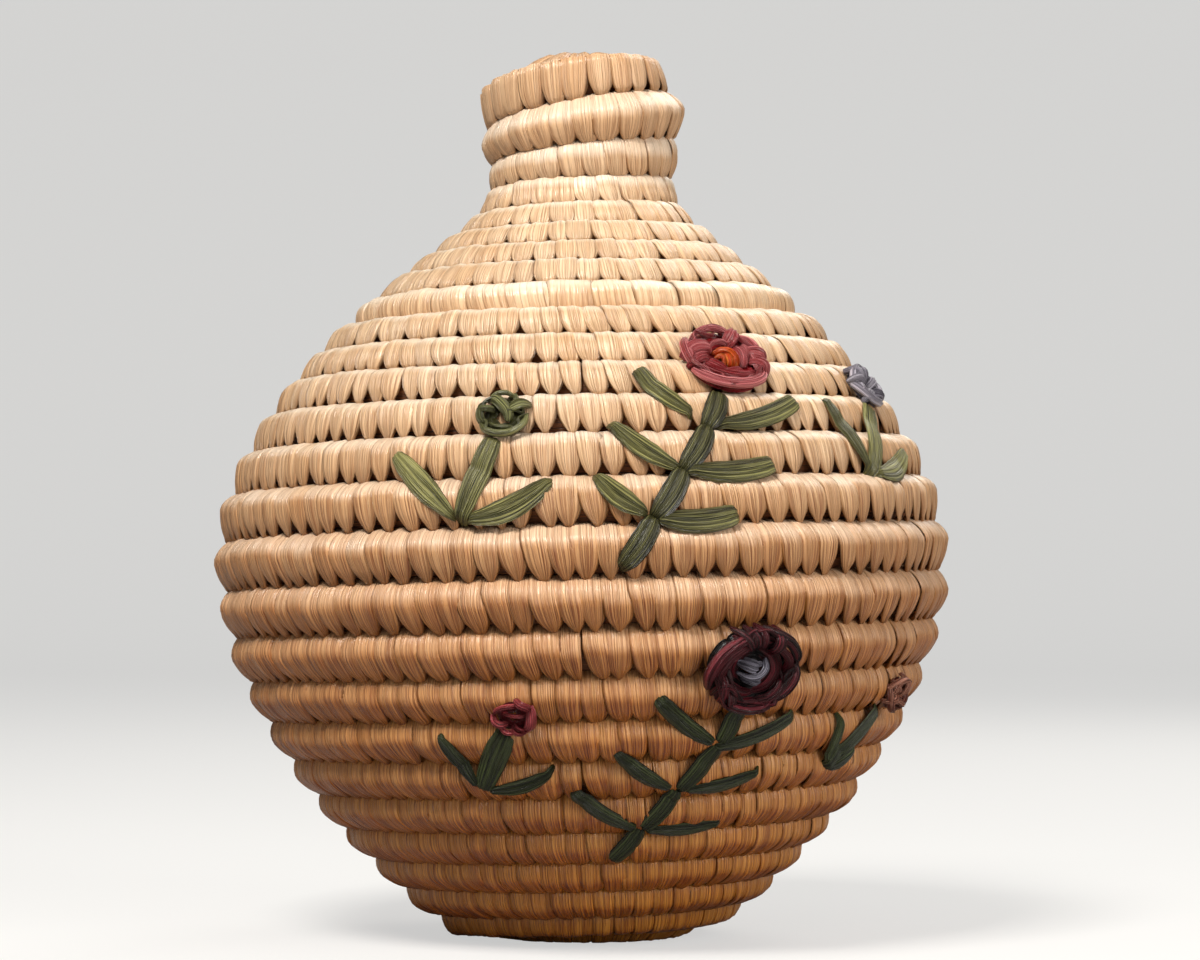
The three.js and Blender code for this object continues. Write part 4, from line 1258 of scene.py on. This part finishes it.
def floor_strips(rings):
    """Wide flat strips in rings, under the rest of a flower."""
    half = FLOOR_REACH // 2
    for radius, width in rings:
        for start in range(0, 360, FLOOR_SPACING):
            arc = [
                (start + a, radius, FLOOR_HEIGHT - FLOOR_DROP * abs(a - half) / half)
                for a in range(0, FLOOR_REACH + 1, half // 2)
            ]
            yield arc, width, FLOOR_THICKNESS


def loose_strands(count, low, high, height):
    """Thin strands that wind round a flower, over its wide ones."""
    for k in range(count):
        start = 360 * k / count + 25 * drift(k * 1.7, 0.3, 2.2)
        strand = []
        for i in range(STRAND_POINTS):
            wave = drift(k * 2.3, i * 0.9, 5.1)
            drop = STRAND_DROP if i in (0, STRAND_POINTS - 1) else 0
            radius = lerp(low, high, clamp(0.5 + wave))
            strand.append((start + STRAND_STEP * i, radius, height + 0.4 * wave - drop))
        yield strand, STRAND_WIDTH + STRAND_WIDTH_RANGE * drift(k * 3.1, 8.8), STRAND_THICKNESS


def add_flower(node, middle, strips, slot, scale, floor=(), loose=NO_STRANDS):
    """A flower or its centre, wound from strips round a place on the wall."""
    arc, azimuth = middle
    radius = wall.at(arc).x + crest_height(arc)
    wide, high = scale
    under = tuple(floor_strips(floor))
    laid = []
    for number, (line, width, thickness) in enumerate((*under, *strips, *loose_strands(*loose))):
        line = [(r * cos(radians(a)), r * sin(radians(a)), h) for a, r, h in line]
        laid.append(ribbon(line, width, thickness, STRAND_FULLNESS, PETAL_STEPS, number + len(node)))

    def place(across, up, out):
        return over_wall(arc + up * high, azimuth + across * wide / radius, crest_height(arc) + out)

    raffia_object(node, laid, place, slot, shaded=len(under))


def add_strip(node, start, end, width, fullness, slot, bow=0.0):
    """A leaf or a piece of stem: one strip between two places on the wall, its ends drawn into the coil."""
    radius = wall.at(start[0]).x + crest_height(start[0])
    run = Vector(((end[1] - start[1]) * radius, end[0] - start[0]))
    sideways = Vector((-run.y, run.x)) * bow
    line = []
    for i in range(LINE_STEPS + 1):
        share = i / LINE_STEPS
        spot = run * share + sideways * sin(pi * share)
        arc, azimuth = start[0] + spot.y, start[1] + spot.x / radius
        relief = row_height(arc, azimuth) - crest_height(arc)
        from_end = min(share, 1 - share) * run.length
        sunk = smooth(1 - from_end / DIVE_LENGTH)
        line.append((spot.x, spot.y, relief * STRIP_SAG + STRIP_RISE - STRIP_DIVE * sunk))
    strips = [ribbon(line, width, STRIP_THICKNESS, fullness, STRIP_STEPS, len(node) + start[0])]

    def place(across, up, out):
        arc = start[0] + up
        return over_wall(arc, start[1] + across / radius, crest_height(arc) + out)

    raffia_object(node, strips, place, slot)


def between(start, end, distance):
    """The place at a distance from one place on the wall towards another."""
    radius = wall.at(start[0]).x + crest_height(start[0])
    share = distance / hypot(end[0] - start[0], radius * (end[1] - start[1]))
    return lerp(start[0], end[0], share), lerp(start[1], end[1], share)


def colour_setting(name, description, default):
    return bpy.props.FloatVectorProperty(
        name=name, description=description, subtype="COLOR_GAMMA", size=3, default=default,
    )


def length_setting(name, description, default):
    return bpy.props.FloatProperty(name=name, description=description, unit="LENGTH", default=default)


class BasketGrass(bpy.types.PropertyGroup):
    """Colours of the grass, as they look."""

    palest: colour_setting("Palest", "The lightest stitches", (1.0, 0.95, 0.88))
    pale: colour_setting("Pale", "Most stitches", (0.98, 0.91, 0.82))
    middle: colour_setting("Middle", "Warmer stitches", (0.97, 0.88, 0.77))
    dark: colour_setting("Dark", "The brownest stitches", (0.94, 0.82, 0.67))
    # Browner and darker lower down: partly the grass's own ageing, partly painted shade on the lower rows
    aged_and_shaded: colour_setting("Aged", "How the grass darkens lower down", (0.86, 0.62, 0.28))
    streak: colour_setting("Streak", "Tone of the fibres along a blade", (0.63, 0.42, 0.18))
    # Darker lower half of each stitch: partly wear, partly painted shade where it faces down
    under: colour_setting("Underside", "Tone of the stitches' lower half", (0.93, 0.81, 0.63))
    # Also paints the shade in the seams between stitches and at their tips; the bundle's palest stalks take
    # it too
    tip: colour_setting("Tip", "Tips and edges of the stitches", (0.51, 0.31, 0.09))
    # The bundle's tones are painted dark as shade, since it shows only in the holes between stitches
    stalk: colour_setting("Stalk", "Stalks of the bundle inside", (0.46, 0.26, 0.10))
    gap: colour_setting("Gap", "The bundle's deepest tone", (0.15, 0.06, 0.015))


class BasketStitches(bpy.types.PropertyGroup):
    """Sizes of the stitches."""

    foot: length_setting("Foot", "Stitch spacing round the foot", 0.0037)
    belly: length_setting("Belly", "Stitch spacing round the belly", 0.0043)
    shoulder: length_setting("Shoulder", "Stitch spacing round the shoulder", 0.0039)
    lid: length_setting("Lid", "Stitch spacing on the lid", 0.0038)
    knob: length_setting("Knob", "Stitch spacing on the knob", 0.0040)
    edge: length_setting("Edge", "Width of the plain wraps on the lid's edge", 0.0078)


class BASKET_OT_body(bpy.types.Operator):
    """Make the basket's body: its bundle of stalks and the stitches round it"""

    bl_idname = "basket.body"
    bl_label = "Basket body"

    def execute(self, context):
        sizes = context.scene.basket_stitches
        last = MOUTH_TURN + SCARF_TURNS
        whole = coil_places(0.05, last, thin=thins_at_mouth, side=-1)
        add_foundation("body_bundle", "basket", "body_coil", whole, full_but_at_mouth)
        for seed, (name, start, end, profile, spacing, squareness) in enumerate((
            ("base", 0.1, 3.7, "pointed_stitch", sizes.foot, 0.7),
            ("foot", 3.7, 8.0, "pointed_stitch", sizes.foot, 0.75),
            ("lower_belly", 8.0, 11.0, "pointed_stitch", sizes.belly, 0.4),
            ("belly", 11.0, 14.4, "pointed_stitch", sizes.belly, 0.15),
            ("upper_belly", 14.4, 17.0, "pointed_stitch", sizes.shoulder, 0.3),
            ("shoulder", 17.0, last, "short_stitch", sizes.shoulder, 0.5),
        )):
            places = coil_places(start, end, thin=thins_at_mouth, side=-1)
            coil = ("basket", "body_coil", places)
            outer = {"Spacing": spacing, "Seed": 20 * seed, "Squareness": squareness}
            inner = {"Spacing": spacing, "Seed": 20 * seed + 10, "Side": -1.0}
            add_stitches(f"{name}_stitches", *coil, profile, **outer)
            add_stitches(f"{name}_inside", *coil, "inside_stitch", **inner)
        return {"FINISHED"}


class BASKET_OT_lid(bpy.types.Operator):
    """Make the lid: its thick plain edge, its cone, its knob and the coil inside the mouth"""

    bl_idname = "basket.lid"
    bl_label = "Basket lid"

    def execute(self, context):
        sizes = context.scene.basket_stitches
        edge_end = MOUTH_TURN + 1.05
        top = turn_at(wall.length) + 0.05
        edge = coil_places(MOUTH_TURN, edge_end, thin=thickens_from_mouth, side=1)
        rows = coil_places(edge_end, NECK_TURN)
        cone = coil_places(MOUTH_TURN, NECK_TURN, thin=thickens_from_mouth, side=1)
        knob = coil_places(NECK_TURN, top)
        flange = coil_places(*(MOUTH_TURN + turns for turns in FLANGE_TURNS), fixed=flange_section)
        add_foundation("lid_bundle", "lid", "lid_coil", cone, full_but_at_mouth)
        add_foundation("knob_bundle", "lid", "knob_coil", knob, full_but_at_mouth, slanted)
        add_foundation("flange_bundle", "lid", "lid_flange_coil", flange, close_fitting)
        plain, inside = {"Spacing": sizes.edge}, {"Side": -1.0}
        on_lid, on_knob = {"Spacing": sizes.lid}, {"Spacing": sizes.knob, "moved": slanted}
        for name, node, places, profile, seed, values in (
            ("edge_wraps", "lid_coil", edge, "plain_wrap", 200, {**plain, "Lean": 0.3, "Unevenness": 0.03}),
            ("lid_stitches", "lid_coil", rows, "short_stitch", 220,
             {**on_lid, "Lean": 0.15, "Squareness": 0.7}),
            ("knob_stitches", "knob_coil", knob, "short_stitch", 240,
             {**on_knob, "Lean": 0.2, "Squareness": 0.6}),
            ("flange_wraps", "lid_flange_coil", flange, "plain_wrap", 260, plain),
            ("lid_inside", "lid_coil", rows, "inside_stitch", 280, {**on_lid, **inside}),
            ("knob_inside", "knob_coil", knob, "inside_stitch", 300, {**on_knob, **inside}),
        ):
            add_stitches(name, "lid", node, places, profile, Seed=seed, **values)
        return {"FINISHED"}


class BASKET_OT_sprigs(bpy.types.Operator):
    """Make the flower sprigs: wound flowers, and leaves and stems of flat strips"""

    bl_idname = "basket.sprigs"
    bl_label = "Raffia sprigs"

    def execute(self, context):
        for name, sprig in TALL_SPRIGS.items():
            middle, leaves, scale = seen_at(*sprig["flower"]), sprig["leaves"], sprig["scale"]
            add_flower(name, middle, FLOWERS[name], sprig["slot"], scale, sprig["floor"], sprig["loose"])
            add_flower(f"{name}_centre", middle, CENTRES[name], sprig["centre"], scale)
            joints = [seen_at(*joint) for joint in sprig["stem"]]
            for i, (upper, lower) in enumerate(zip(joints, joints[1:])):
                start = between(upper, lower, -JOINT_OVERLAP if i else -STEM_UNDER_FLOWER)
                add_strip(f"{name}_stem_{i + 1}", start, lower, STEM_WIDTH, STEM_FULLNESS, leaves, STEM_BOW)
            for (side, bow), setbacks in zip(LEAF_BOWS.items(), sprig["setbacks"]):
                for i, (tip, setback) in enumerate(zip(sprig[side], setbacks)):
                    leaf = f"{side}_{i + 1}"
                    end = seen_at(*tip)
                    start = between(joints[i + 1], end, setback)
                    form = BLUNT_LEAF if leaf in sprig["blunt"] else POINTED_LEAF
                    add_strip(f"{name}_leaf_{leaf}", start, end, sprig["leaf_width"], form, leaves, bow)
        for name, sprig in SHORT_SPRIGS.items():
            middle, leaves, scale = seen_at(*sprig["flower"]), sprig["leaves"], sprig["scale"]
            add_flower(name, middle, FLOWERS[name], sprig["slot"], scale, sprig["floor"], sprig["loose"])
            foot = seen_at(*sprig["foot"])
            top = between(middle, foot, SHORT_STEM_UNDER_FLOWER)
            add_strip(f"{name}_stem", foot, top, SHORT_STEM_WIDTH, SHORT_STEM_FULLNESS, leaves)
            for (side, bow), tip in zip(SHORT_LEAF_BOWS.items(), sprig["tips"]):
                end = seen_at(*tip)
                start, width = between(foot, end, SHORT_SETBACK), SHORT_LEAF_WIDTHS[leaves]
                add_strip(f"{name}_leaf_{side}", start, end, width, POINTED_LEAF, leaves, bow)
        return {"FINISHED"}


class BASKET_OT_templates(bpy.types.Operator):
    """Make the stitch shapes that the coils repeat"""

    bl_idname = "basket.templates"
    bl_label = "Stitch shapes"

    def execute(self, context):
        for name in STITCHES:
            stitch_template(name)
        return {"FINISHED"}


class BASKET_OT_stage(bpy.types.Operator):
    """Make the floor, the lights and the camera"""

    bl_idname = "basket.stage"
    bl_label = "Stage and camera"

    def execute(self, context):
        make_floor()
        make_lights()
        make_camera()
        return {"FINISHED"}


# The floor, in metres, and its paper. Its glow is seen by the camera alone, so it lights nothing
FLOOR_HALF_WIDTH, FLOOR_FRONT, FLOOR_BACK, BEND_RADIUS, BACKDROP_HEIGHT = 3.0, -3.0, 2.2, 0.6, 2.4
BEND_STEPS = 6
PAPER_COLOUR, PAPER_GLOW = (0.32, 0.315, 0.305, 1), (0.56, 0.56, 0.555)

# The studio: the sky's colour, its light, and how much brighter the camera sees it
SKY_COLOUR, SKY_LIGHT, SKY_SEEN = (1.0, 0.98, 0.95, 1), 0.24, 0.5

# Each lamp's place and size in metres, and its power in watts. All face the middle of the basket
LAMP_COLOUR = (1.0, 0.97, 0.92)
LIT_POINT = (0, 0, 0.09)
LAMPS = {
    "key": ((-0.26, -0.54, 0.82), 0.3, 10.3),
    "fill": ((1.0, -0.78, 0.45), 0.8, 8.6),
    "rim": ((0.5, 0.8, 0.8), 0.5, 4.0),
}

# The lens, as the length that the photograph's perspective gives in its own pixels, and where it looks, in
# degrees up and to the left
LENS_PIXELS, PHOTO_WIDTH, SENSOR_WIDTH = 3500, 1200, 36
CAMERA_TILT, CAMERA_TURN = 1.72, -0.295
NEAREST_SEEN = 0.05


def seen_by_camera(tree):
    """One where the camera itself sees a surface, and zero where only light or a reflection meets it."""
    return Wire(tree, tree.nodes.new("ShaderNodeLightPath").outputs["Is Camera Ray"])


def make_floor():
    """A pale floor that curves up into a backdrop far behind."""
    profile = [(FLOOR_FRONT, 0.0), (FLOOR_BACK, 0.0)]
    for i in range(1, BEND_STEPS + 1):
        bend = pi / 2 / BEND_STEPS * i
        profile.append((FLOOR_BACK + BEND_RADIUS * sin(bend), BEND_RADIUS - BEND_RADIUS * cos(bend)))
    profile.append((FLOOR_BACK + BEND_RADIUS, BACKDROP_HEIGHT))
    vertices = [(x, y, z) for y, z in profile for x in (-FLOOR_HALF_WIDTH, FLOOR_HALF_WIDTH)]
    faces = [(2 * i, 2 * i + 1, 2 * i + 3, 2 * i + 2) for i in range(len(profile) - 1)]
    paper, nodes, shader = new_material("stage_paper")
    shader.inputs["Base Color"].default_value = PAPER_COLOUR
    shader.inputs["Roughness"].default_value = 0.9
    glow = nodes.mix(seen_by_camera(nodes.tree), (0.0, 0.0, 0.0), PAPER_GLOW)
    plug(nodes.tree, glow, shader.inputs["Emission Color"])
    shader.inputs["Emission Strength"].default_value = 1.0
    mesh_object("stage_floor", vertices, faces, materials=[paper])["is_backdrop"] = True


def make_lights():
    world = bpy.data.worlds.new("studio")
    bpy.context.scene.world = world
    world.use_nodes = True
    background = world.node_tree.nodes["Background"]
    background.inputs[0].default_value = SKY_COLOUR
    strength = seen_by_camera(world.node_tree) * SKY_SEEN + SKY_LIGHT
    plug(world.node_tree, strength, background.inputs["Strength"])
    for name, (place, size, power) in LAMPS.items():
        lamp = bpy.data.lights.new(name, "AREA")
        lamp.color = LAMP_COLOUR
        lamp.energy = power
        lamp.size = size
        light = bpy.data.objects.new(name, lamp)
        light.location = place
        light.rotation_euler = (Vector(LIT_POINT) - Vector(place)).to_track_quat("-Z", "Y").to_euler()
        bpy.context.scene.collection.objects.link(light)


def make_camera():
    camera = bpy.data.cameras.new("camera")
    camera.sensor_width = SENSOR_WIDTH
    camera.lens = SENSOR_WIDTH * LENS_PIXELS / PHOTO_WIDTH
    camera.clip_start = NEAREST_SEEN
    eye = bpy.data.objects.new("camera", camera)
    eye.location = (0, -CAMERA_DISTANCE * MM, CAMERA_HEIGHT * MM)
    eye.rotation_euler = (radians(90 + CAMERA_TILT), 0, radians(CAMERA_TURN))
    bpy.context.scene.collection.objects.link(eye)
    bpy.context.scene.camera = eye


class BASKET_PT_panel(bpy.types.Panel):
    """Lists the basket's makers and its sizes and colours"""

    bl_label = "Coiled grass basket"
    bl_space_type = "VIEW_3D"
    bl_region_type = "UI"
    bl_category = "Basket"

    def draw(self, context):
        layout = self.layout
        for group in (context.scene.basket_stitches, context.scene.basket_grass):
            for key in group.__annotations__:
                layout.prop(group, key)
        for operator in OPERATORS:
            layout.operator(operator.bl_idname)


OPERATORS = (BASKET_OT_templates, BASKET_OT_body, BASKET_OT_lid, BASKET_OT_sprigs, BASKET_OT_stage)
CLASSES = (BasketGrass, BasketStitches, *OPERATORS, BASKET_PT_panel)


def register():
    for item in CLASSES:
        bpy.utils.register_class(item)
    bpy.types.Scene.basket_grass = bpy.props.PointerProperty(type=BasketGrass)
    bpy.types.Scene.basket_stitches = bpy.props.PointerProperty(type=BasketStitches)


def unregister():
    del bpy.types.Scene.basket_stitches
    del bpy.types.Scene.basket_grass
    for item in reversed(CLASSES):
        bpy.utils.unregister_class(item)


def main():
    register()
    bpy.context.scene.view_settings.view_transform = "Standard"
    for operator in OPERATORS:
        group, name = operator.bl_idname.split(".")
        getattr(getattr(bpy.ops, group), name)()
    for name in STITCHES:
        bpy.data.objects.remove(bpy.data.objects[name])
    boxes = {"cad": CAD_BOUNDS, "visual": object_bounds()}
    sizes = {name: [list(corner) for corner in box] for name, box in boxes.items()}


if __name__ == "__main__":
    main()
